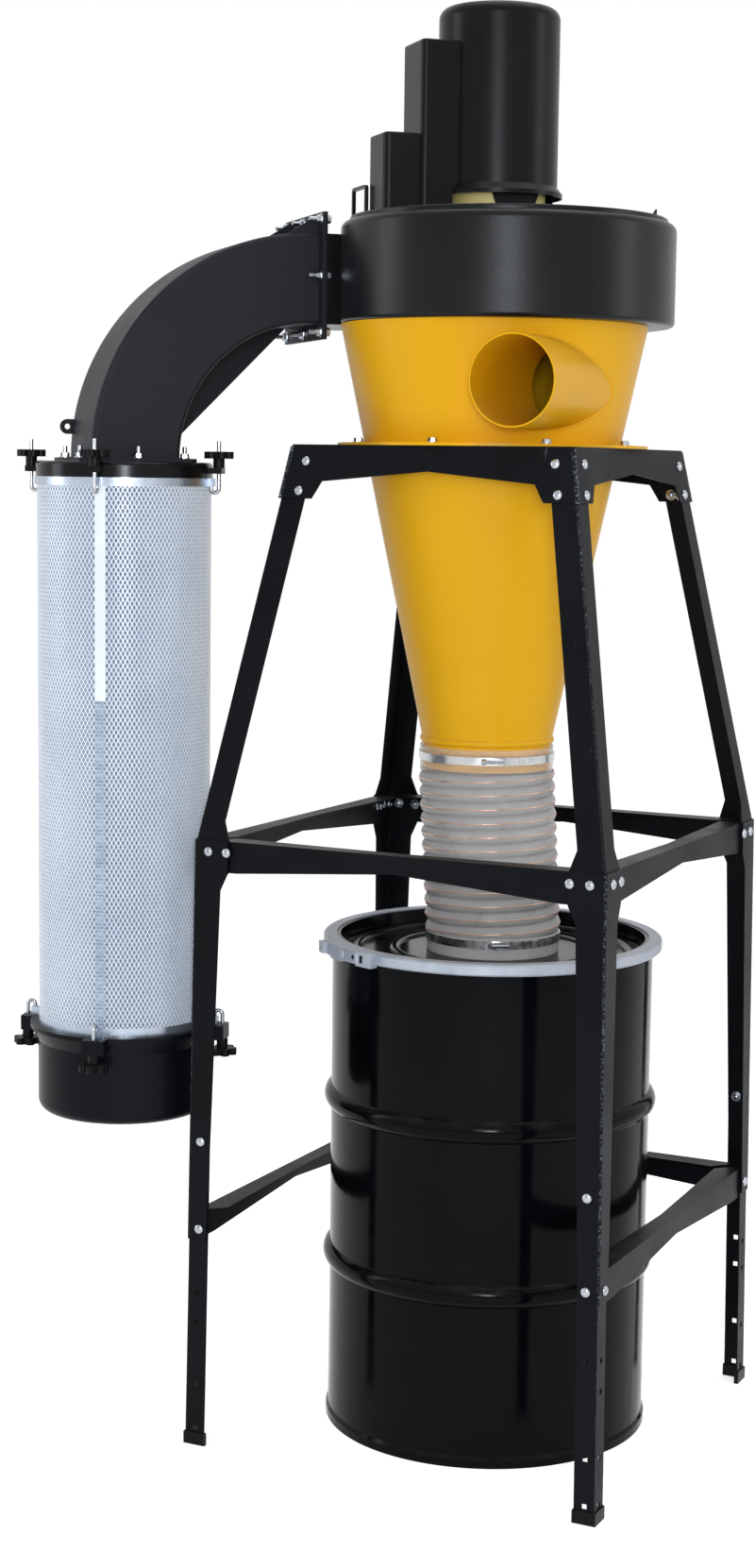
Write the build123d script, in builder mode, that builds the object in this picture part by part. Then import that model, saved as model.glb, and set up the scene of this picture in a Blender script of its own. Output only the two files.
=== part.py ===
import os
from math import cos, sin, radians, sqrt, hypot

from build123d import *

# Cyclone dust separator on a bolted angle stand, with a blower on top,
# a cartridge filter at its side and a clamp-lid drum below. Millimetres, Z up.

sheet = 3.0
bend_r = 4.0
fit = 0.3

# cyclone: one straight taper in two sections, joined at the mounting flange
cone_top_r = 267.0
cone_bottom_r = 116.0
cone_top_z = 1958.0
cone_bottom_z = 1244.0
cone_wall = 3.0
collar_r = 113.0
collar_length = 56.0
bead_out = 3.0
bead_height = 12.0
flange_z = 1749.0
flange_lip = 48.0
flange_thick = 5.0
inlet_r = 76.0
inlet_wall = 2.5
inlet_inset = 5.0
inlet_z = 1854.0
inlet_stand_out = 55.0
inlet_tail = 8.0

# stand: a splayed upper frame on near-upright lower legs
stand_room = 37.1
stand_mid = 756.0
stand_foot = 780.0
fold_z = 1076.0
upper_flange = 46.0
lower_flange = 52.0
lower_tip_flange = 38.0
lower_leg_end_z = 371.0
gusset_width = 66.0
gusset_tab = 56.0
gusset_taper = 30.0
gusset_flare = 34.0
tab_lap = 1.0
trim_spare = 5.0
extension_flange = 37.0
extension_top_z = 610.0
extension_lift = 3.0
square_hole = 9.0
hole_heights = (30.0, 110.0, 222.0, 274.0)
foot_cap_height = 22.0
foot_cap_wall = 2.5
low_bolt_z = 391.0
brace_end_height = 54.0
brace_mid_height = 31.0
brace_end_flange = 42.0
brace_mid_flange = 29.0
brace_end_gap = 7.0
brace_drop = 1.0
shelf_inset = 5.0
top_tab_depth = 90.0
top_tab_width = 60.0
top_shoulder_depth = 60.0
top_shoulder_run = 12.0
top_apex_depth = 41.0
top_shelf = 30.0

# blower, turned so that its outlet leaves over the front left leg
outlet_turn = 225.0
scroll_overhang = 23.0
scroll_height = 174.0
scroll_shoulder = 14.0
scroll_low_round = 8.0
scroll_seat = 14.0
scroll_shift_along = -20.0
scroll_shift_side = 8.0
scroll_eye_r = 120.0
outlet_width = 181.0
outlet_height = 155.0
outlet_reach = 285.0
outlet_plate = 4.0
rim_side = 24.0
rim_low = 27.0
rim_high = 35.0
lid_inset = 15.0
lid_plate = 8.0
lid_round = 3.0

# motor with its cover and boxes
motor_core_r = 84.0
motor_core_height = 240.0
motor_cover_r = 104.0
motor_cover_height = 318.0
motor_cover_round = 20.0
motor_gap = 35.0
skirt_out = 9.0
skirt_lip = 7.0
skirt_rise = 18.0
bracket_stand = 1.5
bracket_low_width = 58.0
bracket_foot = 20.0
bracket_grip = 40.0
drive_width = 102.0
drive_reach = 157.0
drive_start = 40.0
drive_height = 288.0
drive_round = 10.0
drive_top_round = 4.0
switch_width = 88.0
switch_depth = 63.0
switch_height = 133.0
switch_round = 12.0
switch_top_round = 5.0
switch_gap = 2.5194
handle_inset = 20.0
handle_turn = -18.0
handle_length = 75.0
handle_height = 52.0
handle_bar = 6.0
handle_round = 8.0
stop_length = 36.0
stop_height = 20.0
stop_inset = 26.0
stop_turn = 162.0

# elbow and filter
bend_inner_r = 236.0
bend_straight = 14.0
bend_round = 8.0
elbow_wall = 4.0
gusset_reach = 62.0
ear_r = 13.0
ear_hole_r = 5.0
ear_up = 54.0
base_lip = 25.0
base_thick = 6.0
filter_r = 151.0
mesh_wall = 1.5
core_gap = 2.5
core_bore_r = 116.0
ring_bore_r = 110.0
ring_out = 2.0
ring_height = 14.0
cap_out = 3.0
cap_height = 27.0
cap_wall = 12.0
cap_plate = 6.0
cap_round = 7.0
mesh_length = 935.0
pan_height = 159.0
pan_wall = 3.0
pan_round = 20.0
pan_rim_out = 14.0
pan_rim_height = 8.0
pan_rim_taper = 24.0

# hook bolts and star knobs that hold cap and pan to the filter
clamp_count = 4
rod_r = 3.5
hook_r = 7.0
cap_clamp_out = 16.0
cap_clamp_rise = 46.0
cap_tab_width = 24.0
cap_tab_thick = 10.0
cap_tab_low = 8.0
hook_lug = 12.0
clamp_turn = -75.0
pan_clamp_out = 14.0
pan_block_width = 40.0
pan_block_depth = 28.0
pan_block_height = 26.0
hub_r = 10.0
hub_length = 16.0
knob_r = 26.0
knob_lobes = 6
knob_lobe_r = 8.0
knob_thick = 12.0

# drum with its clamp ring, and the hose
drum_r = 287.0
drum_height = 882.0
drum_wall = 2.0
drum_shift_x = 12.0
drum_shift_y = 14.0
hoop_low_z = 304.0
hoop_high_z = 593.0
hoop_half = 20.0
hoop_out = 12.0
chime_out = 4.0
chime_height = 14.0
chime_width = 14.0
chime_taper = 6.0
curl_out = 5.0
curl_height = 12.0
lid_drop = 26.0
lid_wall = 2.0
lid_edge_out = 7.0
lid_edge_in = 14.0
lid_slope = 4.0
lid_collar_height = 62.0
ring_stand = 16.0
ring_wall = 4.0
ring_over = 7.0
ring_drop = 16.0
ring_round = 3.0
lever_turn = -122.0
lever_arc = 30.0
lever_thick = 12.0
lever_height = 22.0
latch_arc = 7.0
latch_thick = 15.0
latch_height = 26.0
hose_out = 6.5
hose_cuff_wall = 5.0
hose_wall = 3.0
hose_pitch = 24.0
hose_cuff = 44.0
hose_gap = 4.0
band_thick = 2.5
band_width = 14.0
band_high_drop = 26.0
band_low_rise = 20.0
worm_turn = -60.0
worm_length = 30.0
worm_height = 12.0
worm_thick = 9.0

os.makedirs("parts", exist_ok=True)
made = []
slope = (cone_top_r - cone_bottom_r) / (cone_top_z - cone_bottom_z)


def cone_r(z):
    # outer radius of the taper at a height
    return cone_bottom_r + slope * (z - cone_bottom_z)


# planes of the stand's leaning sides, x across and y up the slope
stand_top_z = flange_z - sheet
half_top = cone_r(flange_z) + stand_room
half_mid = stand_mid / 2
half_foot = stand_foot / 2
half_fold = half_mid - sheet
low_length = hypot(half_foot - half_mid, fold_z)
up_length = hypot(half_fold - (half_top - sheet), stand_top_z - fold_z)
lean_low = (half_foot - half_mid) / low_length
lean_up = (half_fold - (half_top - sheet)) / up_length


def side_plane(half_low, half_high, z_low, z_high):
    lean = half_low - half_high
    rise = z_high - z_low
    length = hypot(lean, rise)
    return Plane(origin=(0, -half_low, z_low), x_dir=(1, 0, 0), z_dir=(0, -rise / length, lean / length))


def low_edge(up):
    # half width of the lower frame at a distance up its slope
    return half_foot - lean_low * up


def up_edge(up):
    # half width of the upper frame at a distance up its slope
    return half_fold - lean_up * up


low_plane = side_plane(half_foot, half_mid, 0, fold_z)
up_plane = side_plane(half_fold, half_top - sheet, fold_z, stand_top_z)
corner_mirror = Plane(origin=(0, 0, 0), z_dir=(1, -1, 0))


def bent_angle(plane, outline, low_z, high_z):
    # sheet bent along a corner line of the stand, with a rounded outer edge
    with BuildPart() as angle:
        with BuildSketch(plane):
            with BuildLine():
                Polyline(outline, close=True)
            make_face()
        extrude(amount=-sheet)
        split(bisect_by=corner_mirror)
        mirror(about=corner_mirror)
        split(bisect_by=Plane.XY.offset(low_z))
        split(bisect_by=Plane.XY.offset(high_z), keep=Keep.BOTTOM)
        long_edges = angle.edges().filter_by(lambda edge: edge.length > 0.9 * (high_z - low_z))
        fillet(long_edges.sort_by(lambda edge: edge.center().X + edge.center().Y)[0], radius=bend_r)
    return angle


# lower legs: outermost angles, widened to a gusset at the fold
leg_end = lower_leg_end_z
tab_end = low_length - gusset_tab
taper_end = tab_end - gusset_taper
leg_start = leg_end - trim_spare
leg_stop = low_length + trim_spare
lower_outline = (
    (-low_edge(leg_start) - trim_spare, leg_start),
    (-low_edge(leg_stop) - trim_spare, leg_stop),
    (-low_edge(leg_stop) + gusset_width, leg_stop),
    (-low_edge(tab_end) + gusset_width, tab_end),
    (-low_edge(taper_end) + lower_flange, taper_end),
    (-low_edge(leg_start) + lower_tip_flange, leg_start),
)
lower_leg_front_left = bent_angle(low_plane, lower_outline, leg_end, fold_z)
made.append(("lower_leg_front_left", lower_leg_front_left))

# leg extensions: plain angles inside the lower legs, with square adjusting holes
with BuildPart() as leg_extension_front_left:
    with BuildSketch(low_plane.offset(-sheet)):
        with BuildLine():
            Polyline(
                (-low_edge(extension_lift) + sheet, extension_lift),
                (-low_edge(extension_top_z) + sheet, extension_top_z),
                (-low_edge(extension_top_z) + sheet + extension_flange, extension_top_z),
                (-low_edge(extension_lift) + sheet + extension_flange, extension_lift),
                close=True,
            )
        make_face()
        for up in hole_heights:
            with Locations((-low_edge(up) + sheet + extension_flange / 2, up)):
                Rectangle(square_hole, square_hole, mode=Mode.SUBTRACT)
    extrude(amount=-sheet)
    mirror(about=corner_mirror)
made.append(("leg_extension_front_left", leg_extension_front_left))

# upper legs: leaning angles with a bent tab that bolts behind the lower leg
upper_stop = up_length + trim_spare
upper_outline = (
    (-up_edge(-trim_spare) - trim_spare, -trim_spare),
    (-up_edge(upper_stop) - trim_spare, upper_stop),
    (-up_edge(upper_stop) + upper_flange, upper_stop),
    (-up_edge(gusset_flare) + upper_flange, gusset_flare),
    (-up_edge(0) + gusset_width - sheet, 0),
    (-up_edge(-trim_spare) + gusset_width - sheet, -trim_spare),
)
upper_angle = bent_angle(up_plane, upper_outline, fold_z, stand_top_z)
tab_top = low_length + tab_lap
with BuildPart() as upper_leg_front_left:
    add(upper_angle.part)
    with BuildSketch(low_plane.offset(-sheet)):
        with BuildLine():
            Polyline(
                (-low_edge(tab_top) + sheet, tab_top),
                (-low_edge(tab_top) + gusset_width, tab_top),
                (-low_edge(tab_end) + gusset_width, tab_end),
                (-low_edge(tab_end) + sheet, tab_end),
                close=True,
            )
        make_face()
    extrude(amount=-sheet)
    mirror(about=corner_mirror)
made.append(("upper_leg_front_left", upper_leg_front_left))

# foot caps: angle-shaped sockets under the extensions
cap_corner = half_foot - sheet + foot_cap_wall
cap_reach = extension_flange + 2 * foot_cap_wall
cap_thick = sheet + 2 * foot_cap_wall
with BuildPart() as foot_caps:
    with BuildSketch(Plane.XY):
        with Locations((-cap_corner + cap_reach / 2, -cap_corner + cap_thick / 2)):
            Rectangle(cap_reach, cap_thick)
        with Locations((-cap_corner + cap_thick / 2, -cap_corner + cap_reach / 2)):
            Rectangle(cap_thick, cap_reach)
    extrude(amount=foot_cap_height)
    add(leg_extension_front_left.part, mode=Mode.SUBTRACT)
    mirror(about=Plane.YZ)
    mirror(about=Plane.XZ)
made.append(("foot_caps", foot_caps))

for level in ("upper_leg", "lower_leg", "leg_extension"):
    source = dict(made)[level + "_front_left"]
    with BuildPart() as front_right:
        mirror(source.part, about=Plane.YZ)
    with BuildPart() as back_left:
        mirror(source.part, about=Plane.XZ)
    with BuildPart() as back_right:
        mirror(front_right.part, about=Plane.XZ)
    made.append((level + "_front_right", front_right))
    made.append((level + "_back_left", back_left))
    made.append((level + "_back_right", back_right))


def chevron_brace(top):
    # angle inside the legs whose two flanges narrow towards the middle
    half = low_edge(top) - 2 * sheet
    end = half - brace_end_gap
    shelf_end = end - shelf_inset
    shelf_z = top * cos_low
    with BuildPart() as brace:
        with BuildSketch(low_plane.offset(-2 * sheet)):
            with BuildLine():
                Polyline(
                    (-end, top),
                    (end, top),
                    (end, top - brace_end_height),
                    (end - gusset_width, top - brace_end_height),
                    (0, top - brace_mid_height),
                    (-end + gusset_width, top - brace_end_height),
                    (-end, top - brace_end_height),
                    close=True,
                )
            make_face()
        extrude(amount=-sheet)
        with BuildSketch(Plane.XY.offset(shelf_z)):
            with BuildLine():
                Polyline(
                    (-shelf_end, -half),
                    (shelf_end, -half),
                    (shelf_end - brace_end_flange, -half + brace_end_flange),
                    (0, -half + brace_mid_flange),
                    (-shelf_end + brace_end_flange, -half + brace_end_flange),
                    close=True,
                )
            make_face()
        extrude(amount=-sheet)
    return brace


# middle braces on all four sides, lower braces on three: none across the front
cos_low = fold_z / low_length
middle_brace = chevron_brace(low_length - brace_drop)
lower_brace = chevron_brace(low_bolt_z + brace_end_height / 2)

# top braces: leaning plates outside the legs, with end tabs and an inward shelf
tab_low = up_length - top_tab_depth
shoulder = up_length - top_shoulder_depth
apex = up_length - top_apex_depth
shelf_end = half_top - 2 * sheet
with BuildPart() as top_brace:
    with BuildSketch(up_plane.offset(sheet)):
        with BuildLine():
            Polyline(
                (-up_edge(up_length) - trim_spare, up_length),
                (up_edge(up_length) + trim_spare, up_length),
                (up_edge(tab_low) + trim_spare, tab_low),
                (up_edge(tab_low) - top_tab_width, tab_low),
                (up_edge(shoulder) - top_tab_width - top_shoulder_run, shoulder),
                (0, apex),
                (-up_edge(shoulder) + top_tab_width + top_shoulder_run, shoulder),
                (-up_edge(tab_low) + top_tab_width, tab_low),
                (-up_edge(tab_low) - trim_spare, tab_low),
                close=True,
            )
        make_face()
    extrude(amount=-sheet)
    split(bisect_by=corner_mirror)
    split(bisect_by=Plane(origin=(0, 0, 0), z_dir=(-1, -1, 0)))
    with BuildSketch(Plane.XY.offset(stand_top_z)):
        with BuildLine():
            Polyline(
                (-shelf_end, -half_top),
                (shelf_end, -half_top),
                (shelf_end - top_shelf, -half_top + top_shelf),
                (-shelf_end + top_shelf, -half_top + top_shelf),
                close=True,
            )
        make_face()
    extrude(amount=sheet)

sides = (("front", 0), ("right", 90), ("back", 180), ("left", 270))
braces = (("top_brace", top_brace), ("middle_brace", middle_brace), ("lower_brace", lower_brace))
for level, source in braces:
    for side, turn in sides:
        if level == "lower_brace" and side == "front":
            continue
        with BuildPart() as turned:
            add(source.part, rotation=(0, 0, turn))
        made.append((level + "_" + side, turned))

# lower section: taper, rolled bead and the collar that the hose slips over
bead_end = cone_bottom_z - bead_height
collar_end = cone_bottom_z - collar_length
with BuildPart() as cone_shell:
    with BuildSketch(Plane.XZ):
        with BuildLine():
            ThreePointArc(
                (cone_bottom_r, cone_bottom_z),
                (cone_bottom_r + bead_out, cone_bottom_z - bead_height / 2),
                (collar_r, bead_end),
            )
            Polyline(
                (collar_r, bead_end),
                (collar_r, collar_end),
                (collar_r - cone_wall, collar_end),
                (collar_r - cone_wall, cone_bottom_z),
                (cone_r(flange_z) - cone_wall, flange_z),
                (cone_r(flange_z), flange_z),
                (cone_bottom_r, cone_bottom_z),
            )
        make_face()
    revolve(axis=Axis.Z)
made.append(("cone_shell", cone_shell))

# upper section, pierced by the inlet
inlet_x = cone_r(inlet_z) - inlet_r - inlet_inset
inlet_length = cone_r(inlet_z) + inlet_stand_out
inlet_meets = sqrt(cone_r(inlet_z) ** 2 - (cone_r(inlet_z) - inlet_inset) ** 2)
inlet_run = inlet_length - inlet_meets + inlet_tail
inlet_plane = Plane(origin=(inlet_x, -inlet_length, inlet_z), x_dir=(1, 0, 0), z_dir=(0, 1, 0))
with BuildPart() as head_shell:
    with BuildSketch(Plane.XZ):
        with BuildLine():
            Polyline(
                (cone_r(flange_z), flange_z),
                (cone_top_r, cone_top_z),
                (cone_top_r - cone_wall, cone_top_z),
                (cone_r(flange_z) - cone_wall, flange_z),
                close=True,
            )
        make_face()
    revolve(axis=Axis.Z)
    with BuildSketch(inlet_plane):
        Circle(inlet_r)
    extrude(amount=inlet_run, mode=Mode.SUBTRACT)
made.append(("head_shell", head_shell))

# inlet pipe: straight tube that runs tangent through the wall and on inside it
with BuildPart() as inlet_pipe:
    with BuildSketch(inlet_plane):
        Circle(inlet_r)
        Circle(inlet_r - inlet_wall, mode=Mode.SUBTRACT)
    extrude(amount=inlet_run)
made.append(("inlet_pipe", inlet_pipe))

# mounting flange: ring round the cone that rests on the top braces
with BuildPart() as cone_fill:
    with Locations((0, 0, (cone_top_z + cone_bottom_z) / 2)):
        Cone(cone_bottom_r, cone_top_r, cone_top_z - cone_bottom_z)
with BuildPart() as mounting_flange:
    with BuildSketch(Plane.XY.offset(flange_z)):
        Circle(cone_r(flange_z) + flange_lip)
    extrude(amount=flange_thick)
    add(cone_fill.part, mode=Mode.SUBTRACT)
made.append(("mounting_flange", mounting_flange))

# blower: scroll with a tangent outlet, x along the outlet and y to the near side
blow_x = (cos(radians(outlet_turn)), sin(radians(outlet_turn)), 0)
blow_axis = Axis(origin=(0, 0, 0), direction=blow_x)
blow_plane = Plane(origin=(0, 0, cone_top_z), x_dir=blow_x, z_dir=(0, 0, 1))
scroll_r = cone_top_r + scroll_overhang
scroll_at = (scroll_shift_along, scroll_shift_side)
outlet_far = scroll_shift_side - scroll_r
outlet_mid = outlet_far + outlet_width / 2
duct_length = outlet_reach - scroll_shift_along
mouth_plane = Plane(
    origin=blow_plane.from_local_coords((outlet_reach, outlet_mid, outlet_height / 2)),
    x_dir=blow_plane.y_dir,
    z_dir=blow_x,
)
rim_shift = (rim_high - rim_low) / 2
rim_width = outlet_width + 2 * rim_side
rim_tall = outlet_height + rim_low + rim_high
with BuildPart() as blower_housing:
    with BuildSketch(blow_plane):
        with Locations(scroll_at):
            Circle(scroll_r)
    extrude(amount=scroll_height)
    fillet(blower_housing.edges().group_by(Axis.Z)[0], radius=scroll_low_round)
    fillet(blower_housing.edges().group_by(Axis.Z)[-1], radius=scroll_shoulder)
    with BuildSketch(mouth_plane):
        Rectangle(outlet_width, outlet_height)
    extrude(amount=-duct_length)
    with BuildSketch(blow_plane.offset(scroll_low_round)):
        with Locations(scroll_at):
            Circle(scroll_r - sheet)
    extrude(amount=scroll_height - scroll_low_round - scroll_shoulder, mode=Mode.SUBTRACT)
    with BuildSketch(blow_plane.offset(sheet)):
        with Locations(scroll_at):
            Circle(scroll_r - scroll_shoulder - scroll_seat)
    extrude(amount=scroll_height - sheet, mode=Mode.SUBTRACT)
    with BuildSketch(mouth_plane):
        Rectangle(outlet_width - 2 * sheet, outlet_height - 2 * sheet)
    extrude(amount=-duct_length, mode=Mode.SUBTRACT)
    with BuildSketch(blow_plane):
        Circle(scroll_eye_r)
    extrude(amount=sheet, mode=Mode.SUBTRACT)
    with BuildSketch(mouth_plane):
        with Locations((0, rim_shift)):
            Rectangle(rim_width, rim_tall)
        Rectangle(outlet_width - 2 * sheet, outlet_height - 2 * sheet, mode=Mode.SUBTRACT)
    extrude(amount=-outlet_plate)
made.append(("blower_housing", blower_housing))

# blower lid: flat plate on the rim inside the round shoulder
lid_r = scroll_r - lid_inset
with BuildPart() as blower_lid:
    with BuildSketch(blow_plane.offset(scroll_height)):
        with Locations(scroll_at):
            Circle(lid_r)
    extrude(amount=lid_plate)
    fillet(blower_lid.edges().group_by(Axis.Z)[-1], radius=lid_round)
made.append(("blower_lid", blower_lid))

# motor: pale core under a round-topped cover that ends in a flared skirt
lid_top = cone_top_z + scroll_height + lid_plate
cover_z = lid_top + motor_gap
cover_top = cover_z + motor_cover_height
skirt_r = motor_cover_r + skirt_out
with BuildPart() as motor_core:
    with BuildSketch(Plane.XY.offset(lid_top)):
        Circle(motor_core_r)
    extrude(amount=motor_core_height)
made.append(("motor_core", motor_core))

with BuildPart() as cover_fill:
    with BuildSketch(Plane.XZ):
        with BuildLine():
            Polyline(
                (0, cover_z),
                (skirt_r, cover_z),
                (skirt_r, cover_z + skirt_lip),
                (motor_cover_r, cover_z + skirt_rise),
                (motor_cover_r, cover_top),
                (0, cover_top),
                close=True,
            )
        make_face()
    revolve(axis=Axis.Z)
    fillet(cover_fill.edges().group_by(Axis.Z)[-1], radius=motor_cover_round)
with BuildPart() as motor_cover:
    add(cover_fill.part)
    offset(amount=-sheet, openings=motor_cover.faces().sort_by(Axis.Z)[0])
made.append(("motor_cover", motor_cover))

# three bracket plates carry the cover clear of the lid, on bolted feet
bracket_in = motor_core_r + bracket_stand
bracket_out = bracket_in + sheet
bracket_half = sqrt((motor_cover_r - sheet - fit) ** 2 - bracket_out**2)
bracket_rise = motor_gap + skirt_rise
with BuildPart() as one_bracket:
    with BuildSketch(Plane(origin=(bracket_in, 0, lid_top), x_dir=(0, 1, 0), z_dir=(1, 0, 0))):
        with BuildLine():
            Polyline(
                (-bracket_low_width / 2, 0),
                (bracket_low_width / 2, 0),
                (bracket_half, bracket_rise),
                (bracket_half, bracket_rise + bracket_grip),
                (-bracket_half, bracket_rise + bracket_grip),
                (-bracket_half, bracket_rise),
                close=True,
            )
        make_face()
    extrude(amount=sheet)
    with BuildSketch(Plane.XY.offset(lid_top)):
        with Locations((bracket_out + bracket_foot / 2, 0)):
            Rectangle(bracket_foot, bracket_low_width)
    extrude(amount=sheet)
with BuildPart() as cover_brackets:
    for turn in (90, 180, 270):
        add(one_bracket.part, rotation=(0, 0, outlet_turn + turn))
made.append(("cover_brackets", cover_brackets))

# drive box against the cover's outlet side, and a switch box beyond it
box_plane = Plane(origin=(0, 0, lid_top), x_dir=blow_x, z_dir=(0, 0, 1))
with BuildPart() as drive_box:
    with BuildSketch(box_plane):
        with Locations(((drive_start + drive_reach) / 2, 0)):
            Rectangle(drive_reach - drive_start, drive_width)
    extrude(amount=drive_height)
    fillet(drive_box.edges().filter_by(Axis.Z).group_by(blow_axis)[-1], radius=drive_round)
    fillet(drive_box.edges().group_by(Axis.Z)[-1], radius=drive_top_round)
    with BuildSketch(box_plane):
        Circle(skirt_r)
    extrude(amount=motor_gap, mode=Mode.SUBTRACT)
    add(cover_fill.part, mode=Mode.SUBTRACT)
made.append(("drive_box", drive_box))

with BuildPart() as switch_box:
    with BuildSketch(box_plane):
        with Locations((drive_reach + switch_depth / 2, 0)):
            Rectangle(switch_depth, switch_width)
    extrude(amount=switch_height)
    fillet(switch_box.edges().filter_by(Axis.Z).group_by(blow_axis)[-1], radius=switch_round)
    fillet(switch_box.edges().group_by(Axis.Z)[-1], radius=switch_top_round)
made.append(("switch_box", switch_box))

# lifting handle of bent bar just past the switch box, and a stop plate at the lid's other edge
handle_along = drive_reach + switch_depth + switch_gap
handle_aside = scroll_shift_side + (lid_r - handle_inset) * sin(radians(handle_turn))
stop_along = scroll_shift_along + (lid_r - stop_inset) * cos(radians(stop_turn))
stop_aside = scroll_shift_side + (lid_r - stop_inset) * sin(radians(stop_turn))


def upright(along, aside, rise):
    # upright plane on the lid, across the outlet's direction
    spot = box_plane.from_local_coords((along, aside, rise))
    return Plane(origin=spot, x_dir=blow_plane.y_dir, z_dir=blow_x)


handle_plane = upright(handle_along, handle_aside, handle_height / 2)
stop_plane = upright(stop_along, stop_aside, 0)
with BuildPart() as lifting_lugs:
    with BuildSketch(handle_plane):
        RectangleRounded(handle_length, handle_height, handle_round)
        with Locations((0, -handle_bar)):
            Rectangle(handle_length - 2 * handle_bar, handle_height, mode=Mode.SUBTRACT)
        with Locations((0, -handle_height / 2 + handle_round / 2)):
            Rectangle(handle_length, handle_round)
            Rectangle(handle_length - 2 * handle_bar, handle_round, mode=Mode.SUBTRACT)
    extrude(amount=handle_bar)
    with BuildSketch(stop_plane):
        with BuildLine():
            Polyline(
                (-stop_length / 2, 0),
                (stop_length / 2, 0),
                (stop_length / 2, stop_height),
                close=True,
            )
        make_face()
    extrude(amount=sheet)
made.append(("lifting_lugs", lifting_lugs))

# outlet elbow: round-cornered quarter bend, flanged and ribbed, with a web inside it
bend_x = outlet_reach + bend_straight
outer_r = bend_inner_r + outlet_height
base_z = cone_top_z - bend_inner_r
bend_axis = Axis(
    origin=blow_plane.from_local_coords((bend_x, outlet_mid, -bend_inner_r)),
    direction=blow_plane.y_dir,
)
filter_x = bend_x + bend_inner_r + outlet_height / 2
filter_at = blow_plane.from_local_coords((filter_x, outlet_mid, 0))
base_plane = Plane(origin=(filter_at.X, filter_at.Y, base_z), x_dir=blow_x, z_dir=(0, 0, 1))
far_plane = Plane(
    origin=blow_plane.from_local_coords((0, outlet_far, 0)),
    x_dir=blow_x,
    z_dir=-blow_plane.y_dir,
)
near_plane = Plane(
    origin=blow_plane.from_local_coords((0, outlet_far + outlet_width - bend_round, 0)),
    x_dir=blow_x,
    z_dir=-blow_plane.y_dir,
)
ear_x = bend_x + sqrt(outer_r**2 - ear_up**2) + 0.8 * ear_r
ear_z = -bend_inner_r + ear_up
cap_r = filter_r + cap_out
bore_width = outlet_width - 2 * elbow_wall
bore_height = outlet_height - 2 * elbow_wall
bore_round = bend_round - elbow_wall
with BuildPart() as outlet_elbow:
    with BuildSketch(mouth_plane):
        RectangleRounded(outlet_width, outlet_height, bend_round)
    extrude(amount=bend_straight)
    with BuildSketch(mouth_plane.offset(bend_straight)):
        RectangleRounded(outlet_width, outlet_height, bend_round)
    revolve(axis=bend_axis, revolution_arc=90)
    with BuildSketch(far_plane.offset(-bend_round)):
        with BuildLine():
            Polyline(
                (bend_x, 0),
                (bend_x + bend_inner_r, -bend_inner_r),
                (bend_x + bend_inner_r, 0),
                close=True,
            )
        make_face()
        with Locations((ear_x, ear_z)):
            Circle(ear_r)
        with Locations((ear_x - ear_r, ear_z)):
            Rectangle(2 * ear_r, 2 * ear_r)
        with Locations((ear_x, ear_z)):
            Circle(ear_hole_r, mode=Mode.SUBTRACT)
    extrude(amount=-elbow_wall)
    for rib_plane in (near_plane, far_plane.offset(-bend_round)):
        with BuildSketch(rib_plane):
            with BuildLine():
                Polyline(
                    (outlet_reach, outlet_height - elbow_wall),
                    (outlet_reach + gusset_reach, outlet_height - elbow_wall),
                    (outlet_reach, outlet_height + rim_high),
                    close=True,
                )
            make_face()
        extrude(amount=-elbow_wall)
    with BuildSketch(mouth_plane):
        with Locations((0, rim_shift)):
            Rectangle(rim_width, rim_tall)
    extrude(amount=outlet_plate)
    with BuildSketch(base_plane):
        Rectangle(outlet_height + 2 * base_lip, outlet_width + 2 * base_lip)
        Circle(cap_r - cap_round, mode=Mode.INTERSECT)
    extrude(amount=-base_thick)
    with BuildSketch(mouth_plane):
        RectangleRounded(bore_width, bore_height, bore_round)
    extrude(amount=bend_straight, mode=Mode.SUBTRACT)
    with BuildSketch(mouth_plane.offset(bend_straight)):
        RectangleRounded(bore_width, bore_height, bore_round)
    revolve(axis=bend_axis, revolution_arc=90, mode=Mode.SUBTRACT)
    with BuildSketch(base_plane):
        RectangleRounded(bore_height, bore_width, bore_round)
    extrude(amount=-base_thick, mode=Mode.SUBTRACT)
made.append(("outlet_elbow", outlet_elbow))

# filter: cap, end rings, mesh sleeve over a pleated core, and a dust pan
cap_top = base_z - base_thick
cap_low = cap_top - cap_height
mesh_top = cap_low - ring_height
mesh_low = mesh_top - mesh_length
pan_top = mesh_low - ring_height
pan_low = pan_top - pan_height
end_ring_r = filter_r + ring_out
cap_clamp_r = cap_r + cap_clamp_out
pan_r = filter_r + ring_out
pan_rim_r = pan_r + pan_rim_out
pan_clamp_r = pan_rim_r + pan_clamp_out
rod_hole_r = rod_r + fit


def filter_plane(z):
    return Plane(origin=(filter_at.X, filter_at.Y, z))


with BuildPart() as filter_cap:
    with BuildSketch(filter_plane(cap_low)):
        Circle(cap_r)
    extrude(amount=cap_height)
    fillet(filter_cap.edges().group_by(Axis.Z)[-1], radius=cap_round)
    with BuildSketch(filter_plane(cap_low)):
        Circle(cap_r - cap_wall)
    extrude(amount=cap_height - cap_plate, mode=Mode.SUBTRACT)
    with BuildSketch(base_plane):
        RectangleRounded(bore_height, bore_width, bore_round)
    extrude(amount=-base_thick - cap_height, mode=Mode.SUBTRACT)
    with BuildSketch(filter_plane(cap_low + cap_tab_low)):
        with PolarLocations((cap_clamp_r + cap_r) / 2, clamp_count, start_angle=clamp_turn):
            Rectangle(2 * cap_clamp_out, cap_tab_width)
        Circle(cap_r - cap_wall / 2, mode=Mode.SUBTRACT)
        with PolarLocations(cap_clamp_r, clamp_count, start_angle=clamp_turn):
            Circle(rod_hole_r, mode=Mode.SUBTRACT)
    extrude(amount=cap_tab_thick)
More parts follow.
